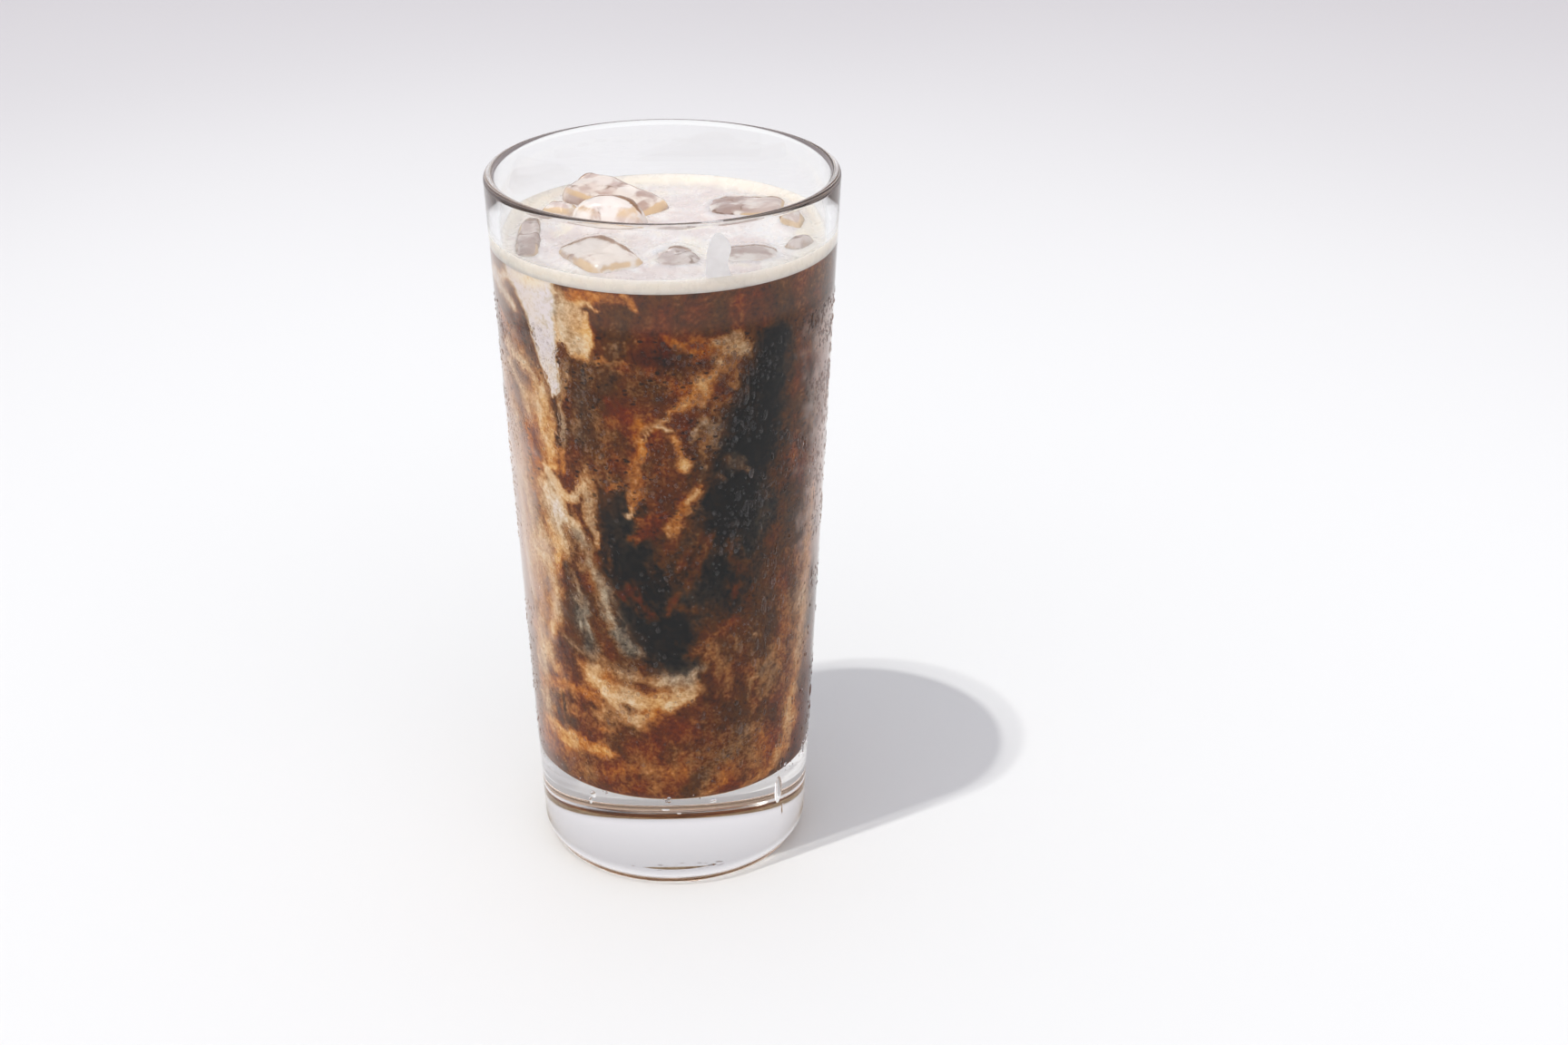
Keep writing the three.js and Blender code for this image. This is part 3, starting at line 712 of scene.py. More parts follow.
def glass_material(settings, finish):
    """The finish is clear, misted or wet. A wet foot bends light only as glass against water does."""
    material, tree, shader, output = new_material("glass_" + finish)
    shader.inputs["Base Color"].default_value = (*settings.tint, 1.0)
    shader.inputs["IOR"].default_value = settings.ior / WATER_IOR if finish == "wet" else settings.ior
    shader.inputs["Transmission Weight"].default_value = 1.0
    place = object_place(tree)
    if finish == "misted":
        low = fade(tree, height_of(tree, place), MIST_FROM * MM, MIST_FULL * MM)
        grain = noise(tree, place, 1500.0, detail=2.0)
        patches = fade(tree, noise(tree, place, 90.0, detail=3.0), 0.35, 0.65, 0.4, 1.0)
        height = maths(tree, "MULTIPLY", grain, maths(tree, "MULTIPLY", low, patches))
        bump(tree, shader, height, settings.mist, 0.2 * MM)
        shader.inputs["Roughness"].default_value = 0.03
    else:
        waves = noise(tree, place, 25.0, detail=1.0)
        bump(tree, shader, waves, 0.02, 1.0 * MM)
        shader.inputs["Roughness"].default_value = 0.0
    # painted shade in the rim, from the dark tint of trapped light
    rim = fade(tree, height_of(tree, place), RIM_FROM * MM, RIM_FULL * MM)
    trapped_tint = mix(tree, rim, (1.0, 1.0, 1.0), TRAPPED_TINT)
    let_lamps_through(tree, shader, output, face_on=0.9, edge_on=0.5, trapped_tint=trapped_tint)
    return material


# Colours of the drink as they show through the wall, from black coffee to milk, and the painted pale
# sheen of lit mist over it
MILK_STEPS = (0.0, 0.25, 0.5, 0.75, 1.0)
COOL = ("24211a", "45403b", "756a5c", "ab9c84", "dacfd1")
TAN = ("2d2522", "543d30", "8e6647", "c6a078", "ead5b8")
HOT = ("2e1e18", "643924", "9e5c32", "cc9056", "e9c492")
# painted sheen: the pale colour that lit mist and grazing reflection lay over the drink's sides
MIST_SHEEN = "cdb1a4"
# painted shade: the dark colour of the flecks that clear drops leave among the lit mist
DROP_FLECK_SHADE = (0.01, 0.004, 0.002)
FLECK_SHARE = 0.8
FLECKS_FROM = 60.0  # mm, from where up to FLECKS_FULL they come in
FLECKS_FULL = 100.0


def clear_flecks(tree, place):
    """Painted shade: where a clear drop on the misted outside lets the drink show darker than the lit
    mist, from 0 to 1.
    """
    wide = node(tree, "ShaderNodeMapping", {0: place, "Scale": (620.0, 620.0, 1150.0)}).outputs[0]
    cells = node(tree, "ShaderNodeTexVoronoi", {"Vector": wide, "Scale": 1.0}).outputs
    chosen = node(tree, "ShaderNodeSeparateColor", {0: cells["Color"]}).outputs[0]
    edge = fade(tree, chosen, 0.3, 1.0, 0.1, 0.42)
    fleck = fade(tree, maths(tree, "SUBTRACT", edge, cells["Distance"]), 0.0, 0.08)
    patch = fade(tree, noise(tree, place, 62.0, detail=2.0), 0.38, 0.52)
    height = height_of(tree, place)
    low = fade(tree, height, FLECKS_FROM * MM, FLECKS_FULL * MM)
    high = fade(tree, height, (MIST_TOP + 0.5) * MM, (MIST_TOP - 1.5) * MM)
    where = maths(tree, "MULTIPLY", patch, maths(tree, "MULTIPLY", low, high))
    return maths(tree, "MULTIPLY", maths(tree, "MULTIPLY", fleck, where), FLECK_SHARE)


def coffee_material():
    """The drink through the wall: three runs of colour, mixed by warmth, with painted shade in dark
    flecks for the clear drops and a painted pale sheen of lit mist.
    """
    material, tree, shader, _ = new_material("coffee_swirled")
    milk = node(tree, "ShaderNodeAttribute", attribute_name="milk").outputs["Fac"]
    warmth = node(tree, "ShaderNodeAttribute", attribute_name="warmth").outputs["Fac"]
    flow = node(tree, "ShaderNodeAttribute", attribute_name="flow").outputs["Vector"]
    mist_sheen = node(tree, "ShaderNodeAttribute", attribute_name="mist_sheen").outputs["Fac"]
    place = object_place(tree)
    wisps = noise(tree, flow, 0.77, detail=8.0, roughness=0.68)
    grain = noise(tree, place, 1300.0, detail=2.0, roughness=0.7)
    wispy = maths(tree, "MULTIPLY", maths(tree, "SUBTRACT", wisps, 0.5), 0.95)
    grainy = maths(tree, "MULTIPLY", maths(tree, "SUBTRACT", grain, 0.5), 0.8)
    uneven = maths(tree, "ADD", wispy, grainy)
    share = maths(tree, "MULTIPLY", milk, maths(tree, "SUBTRACT", 1.3, milk))
    uneven = maths(tree, "MULTIPLY", uneven, maths(tree, "ADD", share, 0.25))
    amount = maths(tree, "ADD", milk, uneven, clamp=True)
    shades = []
    for codes in (COOL, TAN, HOT):
        stops = [(at, under_glass(linear(code))) for at, code in zip(MILK_STEPS, codes)]
        shades.append(ramp(tree, amount, stops))
    cooler = mix(tree, maths(tree, "MULTIPLY", warmth, 2.0, clamp=True), shades[0], shades[1])
    hotter = maths(tree, "SUBTRACT", maths(tree, "MULTIPLY", warmth, 2.0), 1.0, clamp=True)
    colour = mix(tree, hotter, cooler, shades[2])
    # painted shade in dark flecks for the clear drops
    flecks = maths(tree, "MULTIPLY", clear_flecks(tree, place), fade(tree, milk, 0.62, 0.4))
    colour = mix(tree, flecks, colour, DROP_FLECK_SHADE)
    # painted sheen of lit mist and grazing reflection over the drink's sides
    colour = mix(tree, mist_sheen, colour, under_glass(linear(MIST_SHEEN)))
    tree.links.new(colour, shader.inputs["Base Color"])
    shader.inputs["Roughness"].default_value = 0.5
    shader.inputs["Specular IOR Level"].default_value = 0.1
    return material


CREAM_WHITE = (0.78, 0.75, 0.73)  # clouds in the milk between the ice
CREAM_WARM = (0.80, 0.735, 0.64)
# painted light: the cream is painted paler where its side meets the wall
CREAM_SIDE_LIGHT = (0.99, 0.97, 0.93)  # where the cream meets the wall
LIT_SIDE_FROM = 35.3  # mm from the middle of the glass
LIT_SIDE_FULL = 35.8
RING_FROM = 32.0
RING_FULL = 39.0
RING_WAVE = 9.0  # mm that the ring's inner edge wanders


def cream_material(settings):
    """Milk between the ice, yellower cream in a ring by the wall, and painted light that makes the cream
    paler where its side meets the wall.
    """
    material, tree, shader, _ = new_material("cream_top")
    place = object_place(tree)
    parts = node(tree, "ShaderNodeSeparateXYZ", {0: place}).outputs
    flat = node(tree, "ShaderNodeCombineXYZ", {0: parts["X"], 1: parts["Y"]}).outputs[0]
    radius = node(tree, "ShaderNodeVectorMath", {0: flat}, operation="LENGTH").outputs["Value"]
    cloud = noise(tree, flat, 70.0, detail=4.0, distortion=1.2)
    warm = noise(tree, flat, 48.0, detail=3.0, distortion=0.8)
    fine = noise(tree, place, 420.0, detail=6.0)
    outward = maths(tree, "ADD", radius, maths(tree, "MULTIPLY", cloud, RING_WAVE * MM))
    ring = fade(tree, outward, RING_FROM * MM, RING_FULL * MM)
    middle = mix(tree, fade(tree, cloud, 0.38, 0.62), settings.cream_middle, CREAM_WHITE)
    middle = mix(tree, fade(tree, warm, 0.52, 0.68), middle, CREAM_WARM)
    colour = mix(tree, ring, middle, settings.cream_ring)
    # painted light on the cream's side at the wall
    lit_side = fade(tree, radius, LIT_SIDE_FROM * MM, LIT_SIDE_FULL * MM)
    colour = mix(tree, lit_side, colour, CREAM_SIDE_LIGHT)
    tree.links.new(colour, shader.inputs["Base Color"])
    tree.links.new(fade(tree, fine, 0.3, 0.7, 0.18, 0.4), shader.inputs["Roughness"])
    shader.inputs["Subsurface Weight"].default_value = 0.6
    shader.inputs["Subsurface Radius"].default_value = (1.0, 0.85, 0.7)
    shader.inputs["Subsurface Scale"].default_value = 4.0 * MM
    bump(tree, shader, fine, 0.1, 0.3 * MM)
    return material


ICE_DEEP = (0.74, 0.64, 0.62)  # clear ice over the drink
ICE_PALE = (0.92, 0.86, 0.84)
ICE_OVER_COFFEE = (0.47, 0.35, 0.32)  # where the drink under it shows dark
# partly painted shade: the sloping sides, darkened to amber, partly the drink seen through bare ice
ICE_AMBER_SIDE_SHADE = (0.84, 0.67, 0.48)  # the sides by the edges
ICE_CRACK = (0.22, 0.12, 0.07)
ICE_MILK = (0.97, 0.94, 0.92)
# painted shade along each block's far edge
ICE_FAR_EDGE_SHADE = (0.36, 0.22, 0.14)


def ice_material():
    """Clear ice with cracks and a film of milk. Its sloping sides are amber, partly the drink seen
    through bare ice and partly painted shade, and a dark line of painted shade runs along its far edge.
    """
    material, tree, shader, output = new_material("ice_milky")
    place = object_place(tree)
    film = node(tree, "ShaderNodeAttribute", attribute_name="film").outputs["Fac"]
    slope = node(tree, "ShaderNodeAttribute", attribute_name="slope").outputs["Fac"]
    cloud = noise(tree, place, 170.0, detail=4.0, roughness=0.55, distortion=0.8)
    fine = noise(tree, place, 900.0, detail=4.0)
    uneven = maths(tree, "MULTIPLY", maths(tree, "SUBTRACT", cloud, 0.5), 1.2)
    cover = fade(tree, maths(tree, "ADD", film, uneven), 0.35, 0.65)
    # painted shade on the sloping sides, partly the drink seen through bare ice
    bent = maths(tree, "ADD", slope, maths(tree, "MULTIPLY", uneven, 0.12))
    edge = maths(tree, "MULTIPLY", fade(tree, bent, 0.1, 0.2), fade(tree, bent, 0.75, 0.5))
    patch = fade(tree, noise(tree, place, 110.0, detail=2.0), 0.42, 0.56)
    edge = maths(tree, "MULTIPLY", edge, patch)
    far = node(tree, "ShaderNodeAttribute", attribute_name="far_edge").outputs["Fac"]
    line_cloud = noise(tree, place, 140.0, detail=2.0)
    # painted shade: a dark line along the block's far edge
    rim = maths(tree, "MULTIPLY", fade(tree, far, 0.2, 0.8), fade(tree, line_cloud, 0.28, 0.42))
    clear = mix(tree, fade(tree, cloud, 0.4, 0.6), ICE_DEEP, ICE_PALE)
    deep = fade(tree, noise(tree, place, 80.0, detail=3.0, distortion=0.6), 0.48, 0.58, 0.0, 0.6)
    clear = mix(tree, deep, clear, ICE_OVER_COFFEE)
    bare = mix(tree, edge, clear, ICE_AMBER_SIDE_SHADE)
    folds = noise(tree, place, 95.0, detail=3.0)
    ridge = maths(tree, "ABSOLUTE", maths(tree, "SUBTRACT", folds, 0.5))
    off_patch = maths(tree, "SUBTRACT", 1.0, patch)
    crack = maths(tree, "MULTIPLY", fade(tree, ridge, 0.03, 0.005), off_patch)
    bare = mix(tree, maths(tree, "MULTIPLY", crack, 0.7), bare, ICE_CRACK)
    colour = mix(tree, cover, bare, ICE_MILK)
    colour = mix(tree, rim, colour, ICE_FAR_EDGE_SHADE)
    tree.links.new(colour, shader.inputs["Base Color"])
    tree.links.new(fade(tree, cover, 0.0, 1.0, 0.03, 0.2), shader.inputs["Roughness"])
    shader.inputs["IOR"].default_value = ICE_IOR
    shader.inputs["Transmission Weight"].default_value = 0.45
    bump(tree, shader, fine, 0.2, 0.3 * MM)
    let_lamps_through(tree, shader, output, face_on=0.95, edge_on=0.7)
    return material


WATER_CLEAR = (1.0, 1.0, 1.0)
# painted shade: the beads are tinted darker, so that the drink shows darker through them than through
# the lit mist
BEAD_SHADE_ON_COFFEE = (0.70, 0.68, 0.68)
BEAD_SHADE_ON_MILK = (0.93, 0.91, 0.90)  # on the left of the glass, where a pale drink shows through
# painted shade: the water at the foot is tinted brown, as contact shade under the foot's edge
FOOT_CONTACT_SHADE = (0.50, 0.36, 0.26)
# over which the beads' painted shade changes from the pale drink on the left to the dark drink
PALE_SIDE = -24.0  # mm across, from where to DARK_SIDE the beads change colour
DARK_SIDE = -4.0


def water_material(name, tint, tint_left=None):
    """Water of one colour, or with another colour on the left of the glass."""
    material, tree, shader, output = new_material(name)
    shader.inputs["Base Color"].default_value = (*tint, 1.0)
    if tint_left:
        across = node(tree, "ShaderNodeSeparateXYZ", {0: object_place(tree)}).outputs["X"]
        colour = mix(tree, fade(tree, across, PALE_SIDE * MM, DARK_SIDE * MM), tint_left, tint)
        tree.links.new(colour, shader.inputs["Base Color"])
    shader.inputs["Roughness"].default_value = 0.0
    shader.inputs["IOR"].default_value = WATER_IOR
    shader.inputs["Transmission Weight"].default_value = 1.0
    let_lamps_through(tree, shader, output, face_on=0.98, edge_on=0.8)
    return material


# painted highlight: the colours of the pale streak on the inside of the wall
STREAK_DIMMER = (0.93, 0.91, 0.895)
STREAK_WHITE = (0.99, 0.975, 0.96)


def highlight_streak_material():
    """A painted highlight on the wall, shaded as thin milk, a little cloudy."""
    material, tree, shader, _ = new_material("highlight_streak_white")
    cloud = noise(tree, object_place(tree), 260.0, detail=4.0)
    colour = mix(tree, fade(tree, cloud, 0.35, 0.65), STREAK_DIMMER, STREAK_WHITE)
    tree.links.new(colour, shader.inputs["Base Color"])
    shader.inputs["Roughness"].default_value = 0.25
    return material


# painted shade: the floor is darker far from the glass
FLOOR_NEAR = (0.765, 0.78, 0.79)
FLOOR_FAR = (0.545, 0.535, 0.56)
FLOOR_FADE = (0.3, 1.1)  # m from the glass


def floor_material():
    """A pale floor with painted shade that darkens it a little with distance."""
    material, tree, shader, _ = new_material("floor_pale")
    place = object_place(tree)
    away = node(tree, "ShaderNodeVectorMath", {0: place}, operation="LENGTH").outputs["Value"]
    cloud = noise(tree, place, 2.0, detail=1.0)
    outward = maths(tree, "ADD", away, maths(tree, "MULTIPLY", cloud, 0.2))
    colour = mix(tree, fade(tree, outward, *FLOOR_FADE), FLOOR_NEAR, FLOOR_FAR)
    tree.links.new(colour, shader.inputs["Base Color"])
    shader.inputs["Roughness"].default_value = 0.7
    shader.inputs["Specular IOR Level"].default_value = 0.2
    return material


# Pieces


def finish_piece(piece, slot, *replaced):
    """Puts a piece on the body, in place of the nodes named. The slot is not used."""
    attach(piece, BODY)
    if replaced:
        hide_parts(*replaced)
    return piece


class ICED_OT_glass(bpy.types.Operator):
    """Spins the heavy tumbler and gives its wet outside a misted finish"""

    bl_idname = "iced.glass"
    bl_label = "Glass"

    def execute(self, context):
        settings = context.scene.iced_glass
        lean = math.degrees(math.atan((RIM_RADIUS - FOOT_RADIUS) / GLASS_HEIGHT))
        lip = WALL_AT_RIM / 2
        lip_height = GLASS_HEIGHT - lip
        base_corner = BASE_HEIGHT + BASE_ROUND
        dish = (FOOT_RING_INSIDE**2 + UNDERSIDE_DISH**2) / (2 * UNDERSIDE_DISH)
        dish_angle = math.degrees(math.asin(FOOT_RING_INSIDE / dish))
        foot_middle = outer_radius(FOOT_ROUND) - FOOT_ROUND
        corner_middle = inner_radius(base_corner) - BASE_ROUND
        profile = arc(0.0, UNDERSIDE_DISH - dish, dish, 90, 90 - dish_angle, 10)
        profile += arc(foot_middle, FOOT_ROUND, FOOT_ROUND, -90, -lean, 14)
        profile += line(profile[-1], (outer_radius(MIST_TOP), MIST_TOP), 24)
        profile += line(profile[-1], (outer_radius(lip_height), lip_height), 4)[:-1]
        profile += arc(outer_radius(lip_height) - lip, lip_height, lip, -lean, 180 - lean, 18)
        profile += line(profile[-1], (inner_radius(base_corner), base_corner), 24)[:-1]
        profile += arc(corner_middle, base_corner, BASE_ROUND, -lean, -90, 14)
        profile += line(profile[-1], (0.0, BASE_HEIGHT), 6)
        piece = spun("glass_tumbler", profile, GLASS_SIDES)
        for finish in ("clear", "misted", "wet"):
            piece.data.materials.append(glass_material(settings, finish))
        for face in piece.data.polygons:
            x, y, z = face.center / MM
            radius, back = math.hypot(x, y), math.degrees(math.atan2(-x, y))
            if BASE_HEIGHT < z < MIST_TOP and radius > outer_radius(z) - WALL_AT_RIM / 2:
                face.material_index = 1
            elif z < WET_FOOT and radius > FOOT_RING_INSIDE:
                dry = any(start < back < end for start, end in DRY_FOOT)
                face.material_index = 0 if dry else 2
        finish_piece(piece, "glass", "glass")
        return {"FINISHED"}


ICE_FATTER = 0.25  # mm by which smoothing shrinks a block
PIT_SIZE = 5.0  # mm across
# painted shade: the far edge of each block, seen from the front, is painted dark
FAR_LINE = (0.03, 0.2)  # slope away from the front, over which a block's far edge darkens
DOME_LINE = (-0.05, 0.05)  # the same for the round block
DOME_LEAN = 0.45  # how far the round block's line runs down its right side
LEVEL_LINE = (0.3, 0.6)  # and how level the face is there
SIDE_BARE = (0.1, 0.3)  # slope of a side, over which the film of milk runs off
LAP_ABOVE = 0.6  # mm over the cream that it still laps a block


def far_edge_of(name, normals):
    """Where painted shade shows a block's far edge as a dark line, from 0 to 1."""
    (start, full), lean = (DOME_LINE, DOME_LEAN) if name == "ice_dome" else (FAR_LINE, 0.0)
    away = normals[:, 1] + lean * normals[:, 0]
    return smooth(start, full, away) * smooth(*LEVEL_LINE, normals[:, 2])


class ICED_OT_ice(bpy.types.Operator):
    """Smooths and pits a copy of each block of ice"""

    bl_idname = "iced.ice"
    bl_label = "Ice"

    def execute(self, context):
        settings = context.scene.iced_ice
        finish = ice_material()
        for name in ICE_FILM:
            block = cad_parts[name]
            piece = block.copy()
            piece.data = block.data.copy()
            context.scene.collection.objects.link(piece)
            named(piece, name + "_melted")
            piece.hide_render = piece.hide_viewport = False
            select_only(piece)
            piece.data.materials.clear()
            piece.data.materials.append(finish)
            bpy.ops.object.mode_set(mode="EDIT")
            bpy.ops.mesh.select_all(action="SELECT")
            bpy.ops.mesh.remove_doubles(threshold=ICE_MERGE * MM)
            bpy.ops.mesh.tris_convert_to_quads()
            bpy.ops.object.mode_set(mode="OBJECT")
            apply_modifier(piece, "SUBSURF", levels=2, render_levels=2)
            bpy.ops.object.mode_set(mode="EDIT")
            bpy.ops.mesh.select_all(action="SELECT")
            bpy.ops.transform.shrink_fatten(value=ICE_FATTER * MM)
            bpy.ops.object.mode_set(mode="OBJECT")
            places = corners_of(piece.data)
            normals = np.empty(len(places) * 3)
            piece.data.vertices.foreach_get("normal", normals)
            normals = normals.reshape(-1, 3)
            pits = rough(places, PIT_SIZE, 31.0, layers=3)[:, None] * normals
            move_corners(piece.data, places + pits * settings.pits / MM)
            lap = smooth(-0.3, 0.4, rough(places, 7.0, 22.0, layers=2))
            film = ICE_FILM[name] + 0.35 * rough(places, 5.0, 80.0)
            slope = np.clip(1 - normals[:, 2], 0, 1)
            film -= 0.4 * smooth(*SIDE_BARE, slope)
            film += 0.9 * lap * smooth(-1.2, 0.1, CREAM_TOP - LAP_ABOVE - places[:, 2])
            keep_values(piece.data, "film", np.clip(film, 0, 1))
            keep_values(piece.data, "slope", slope)
            keep_values(piece.data, "far_edge", far_edge_of(name, normals))
            bpy.ops.object.shade_smooth()
            finish_piece(piece, "ice", name)
        return {"FINISHED"}


def pocket_cutter(settings):
    """All the blocks of ice as one solid, a little smaller than they are."""
    copies = []
    for name in ICE_FILM:
        block = bpy.data.objects[name + "_melted"]
        copy = block.copy()
        copy.data = block.data.copy()
        bpy.context.scene.collection.objects.link(copy)
        copies.append(copy)
    bpy.ops.object.select_all(action="DESELECT")
    for copy in copies:
        copy.select_set(True)
    bpy.context.view_layer.objects.active = copies[0]
    bpy.ops.object.join()
    cutter = bpy.context.object
    cutter.data.materials.clear()
    bpy.ops.object.mode_set(mode="EDIT")
    bpy.ops.mesh.select_all(action="SELECT")
    bpy.ops.transform.shrink_fatten(value=-settings.film)
    bpy.ops.object.mode_set(mode="OBJECT")
    return cutter


def cut_pockets(piece):
    """Cuts the blocks of ice out of the drink."""
    cutter = pocket_cutter(bpy.context.scene.iced_ice)
    apply_modifier(piece, "BOOLEAN", operation="DIFFERENCE", solver="MANIFOLD", object=cutter)
    bpy.data.objects.remove(cutter)


POCKET_FROM = 100.0  # mm, above which the ice's pockets are
POCKET_DEPTH = 0.1  # mm in from the wall, past which a point is in a pocket
# partly painted light: the pocket walls are milkier and paler towards the top, which brightens the ice
# over them
POCKET_MILK = 0.7  # milk in the pockets, which rises to 1 over the next two heights in mm
POCKET_FADE = (122, 134)
POCKET_WARMTH = 0.35
UNDER_MILK = 0.6  # on the bottom of the drink, seen through the base
UNDER_WARMTH = 0.3
COFFEE_CREASE = 40  # degrees, sharper than which an edge isn't smoothed
CREAM_CREASE = 50
DROP_CREASE = 60


class ICED_OT_coffee(bpy.types.Operator):
    """Spins the coffee up to the cream, cuts the ice's pockets and lays out the swirls of milk"""

    bl_idname = "iced.coffee"
    bl_label = "Coffee"

    def execute(self, context):
        bottom = BASE_HEIGHT - INTO_WALL
        corner = BASE_HEIGHT + BASE_ROUND
        corner_middle = inner_radius(corner) - BASE_ROUND
        wall_top = (inner_radius(COFFEE_TOP) + INTO_WALL, COFFEE_TOP)
        profile = [(0.0, bottom)]
        profile += line(profile[-1], (corner_middle, bottom), 8)[:-1]
        profile += arc(corner_middle, corner, BASE_ROUND + INTO_WALL, -90, 0, 10)
        profile += line(profile[-1], wall_top, COFFEE_RINGS)
        profile += line(wall_top, (0.0, COFFEE_TOP), 6)
        piece = spun("coffee_with_milk", profile, COFFEE_SIDES)
        piece.data.materials.append(coffee_material())
        cut_pockets(piece)
        places = corners_of(piece.data)
        radius = np.hypot(places[:, 0], places[:, 1])
        angle = np.degrees(np.arctan2(places[:, 0], -places[:, 1]))
        height = places[:, 2]
        milk, warmth, flow, mist_sheen = swirls(angle, height)
        inside = (height > POCKET_FROM) & (radius < inner_radius(height) - POCKET_DEPTH)
        # pocket walls paler towards the top, partly milk and partly painted light for the ice over them
        rise = smooth(*POCKET_FADE, height + 4 * rough(places, 6.0, 50.0))
        milk = np.where(inside, POCKET_MILK + (1 - POCKET_MILK) * rise, milk)
        warmth = np.where(inside, POCKET_WARMTH, warmth)
        under = height < BASE_HEIGHT + 0.5
        milk = np.where(under, UNDER_MILK, milk)
        warmth = np.where(under, UNDER_WARMTH, warmth)
        keep_values(piece.data, "milk", milk)
        keep_values(piece.data, "warmth", warmth)
        keep_values(piece.data, "flow", flow)
        # the painted mist sheen is kept off the pockets and the bottom
        keep_values(piece.data, "mist_sheen", np.where(inside | under, 0.0, mist_sheen))
        select_only(piece)
        bpy.ops.object.shade_smooth_by_angle(angle=math.radians(COFFEE_CREASE))
        finish_piece(piece, "coffee", "coffee")
        return {"FINISHED"}


CREAM_INTO_WALL = INTO_WALL + 0.05  # a little more than the coffee's, so that the walls don't meet
CREAM_SINK = 0.8  # mm that its open middle lies below its solid
CREAM_WAVES = 0.25  # mm of relief
WAVE_SIZE = 12.0
CLIMB_UP = 0.75  # mm that it climbs the sides of the ice
CLIMB_ON_ICE = 1.7  # mm from the ice, over which it does
FREE_FROM_WALL = 4.0  # mm from its edge, over which the relief comes in
NEAR_LEVEL = 1.0  # mm above and below the cream's top, within which ice counts


def gaps_to_ice(places):
    """How far each point is from the nearest ice, in mm."""
    near = []
    for name in ICE_FILM:
        corners = corners_of(bpy.data.objects[name + "_melted"].data)
        near.append(corners[np.abs(corners[:, 2] - CREAM_TOP) < NEAR_LEVEL])
    near = np.concatenate(near)
    tree = KDTree(len(near))
    for index, corner in enumerate(near):
        tree.insert(corner, index)
    tree.balance()
    return np.array([tree.find(place)[2] for place in places])


class ICED_OT_cream(bpy.types.Operator):
    """Spins the layer of cream, gives it low relief and cuts the ice's pockets"""

    bl_idname = "iced.cream"
    bl_label = "Cream"

    def execute(self, context):
        settings = context.scene.iced_drink
        edge = inner_radius(CREAM_EDGE) + CREAM_INTO_WALL
        low_edge = inner_radius(CREAM_BOTTOM) + CREAM_INTO_WALL
        profile = [(0.0, CREAM_BOTTOM), (low_edge, CREAM_BOTTOM)]
        profile += line(profile[-1], (edge, CREAM_EDGE), 6)
        for inward in np.linspace(0, 1, 13)[1:]:
            climb = (CREAM_EDGE - CREAM_TOP) * (1 - inward) ** 2
            profile.append((edge - CREAM_CLIMB * inward, CREAM_TOP + climb))
        profile += line(profile[-1], (0.0, CREAM_TOP), CREAM_RINGS)
        piece = spun("cream_layer", profile, CREAM_SIDES)
        piece.data.materials.append(cream_material(settings))
        places = corners_of(piece.data)
        radius = np.hypot(places[:, 0], places[:, 1])
        free = smooth(-edge, FREE_FROM_WALL - edge, -radius) * (places[:, 2] > CREAM_TOP - 0.1)
        climb = np.exp(-((gaps_to_ice(places) / CLIMB_ON_ICE) ** 2))
        waves = rough(places, WAVE_SIZE, 60.0, layers=2)
        places[:, 2] += free * (CREAM_WAVES * waves - CREAM_SINK + CLIMB_UP * climb)
        move_corners(piece.data, places)
        cut_pockets(piece)
        select_only(piece)
        bpy.ops.object.shade_smooth_by_angle(angle=math.radians(CREAM_CREASE))
        finish_piece(piece, "cream", "cream")
        return {"FINISHED"}


# Condensation

WATER_ANGLE = math.radians(45)  # at which a drop meets the glass
LOW_DROPS = (  # angle and height on the glass in degrees and mm, half width and half height in mm
    (15.7, 21.6, 0.8, 0.5),
    (-36.0, 21.2, 0.8, 0.9),
    (-37.5, 19.4, 0.45, 0.9),
    (49.0, 18.5, 1.3, 3.6),
    (52.4, 12.4, 0.45, 1.5),
    (-4.0, 20.3, 0.9, 0.25),
    (1.5, 19.3, 0.5, 0.2),
)
DROP_SINK = 0.12  # share of its thickness that a drop is sunk in the wall
BEADS_FROM = 22.0  # mm
BEADS_BELOW_MIST = 1.2
BEADS_THICKEN = (60, 128)  # mm, over which they grow denser
BEAD_PATCHES = 14.0  # mm across
TRIES = 8  # places drawn for each bead that is kept, at most
SMALL_MOST = 2.5  # the higher, the more of the beads are small


def drop_cap(segments, rings):
    """The top of a ball, scaled to a radius of 1 at its foot, as vertices and faces.

    It is modelled once and then copied. Water meets glass at a low angle, so this is a low cap.
    """
    bpy.ops.object.select_all(action="DESELECT")
    bpy.ops.mesh.primitive_uv_sphere_add(segments=segments, ring_count=rings, radius=1.0)
    ball = bpy.context.object
    bpy.ops.object.mode_set(mode="EDIT")
    bpy.ops.mesh.select_all(action="SELECT")
    level, foot = math.cos(WATER_ANGLE), math.sin(WATER_ANGLE)
    bpy.ops.mesh.bisect(plane_co=(0, 0, level), plane_no=(0, 0, 1), use_fill=True, clear_inner=True)
    bpy.ops.mesh.select_all(action="SELECT")
    bpy.ops.transform.translate(value=(0, 0, -level))
    bpy.ops.transform.resize(value=(1 / foot,) * 3, center_override=(0, 0, 0))
    bpy.ops.mesh.normals_make_consistent(inside=False)
    bpy.ops.object.mode_set(mode="OBJECT")
    corners = np.array([corner.co for corner in ball.data.vertices])
    faces = [list(face.vertices) for face in ball.data.polygons]
    bpy.data.objects.remove(ball)
    return corners, faces


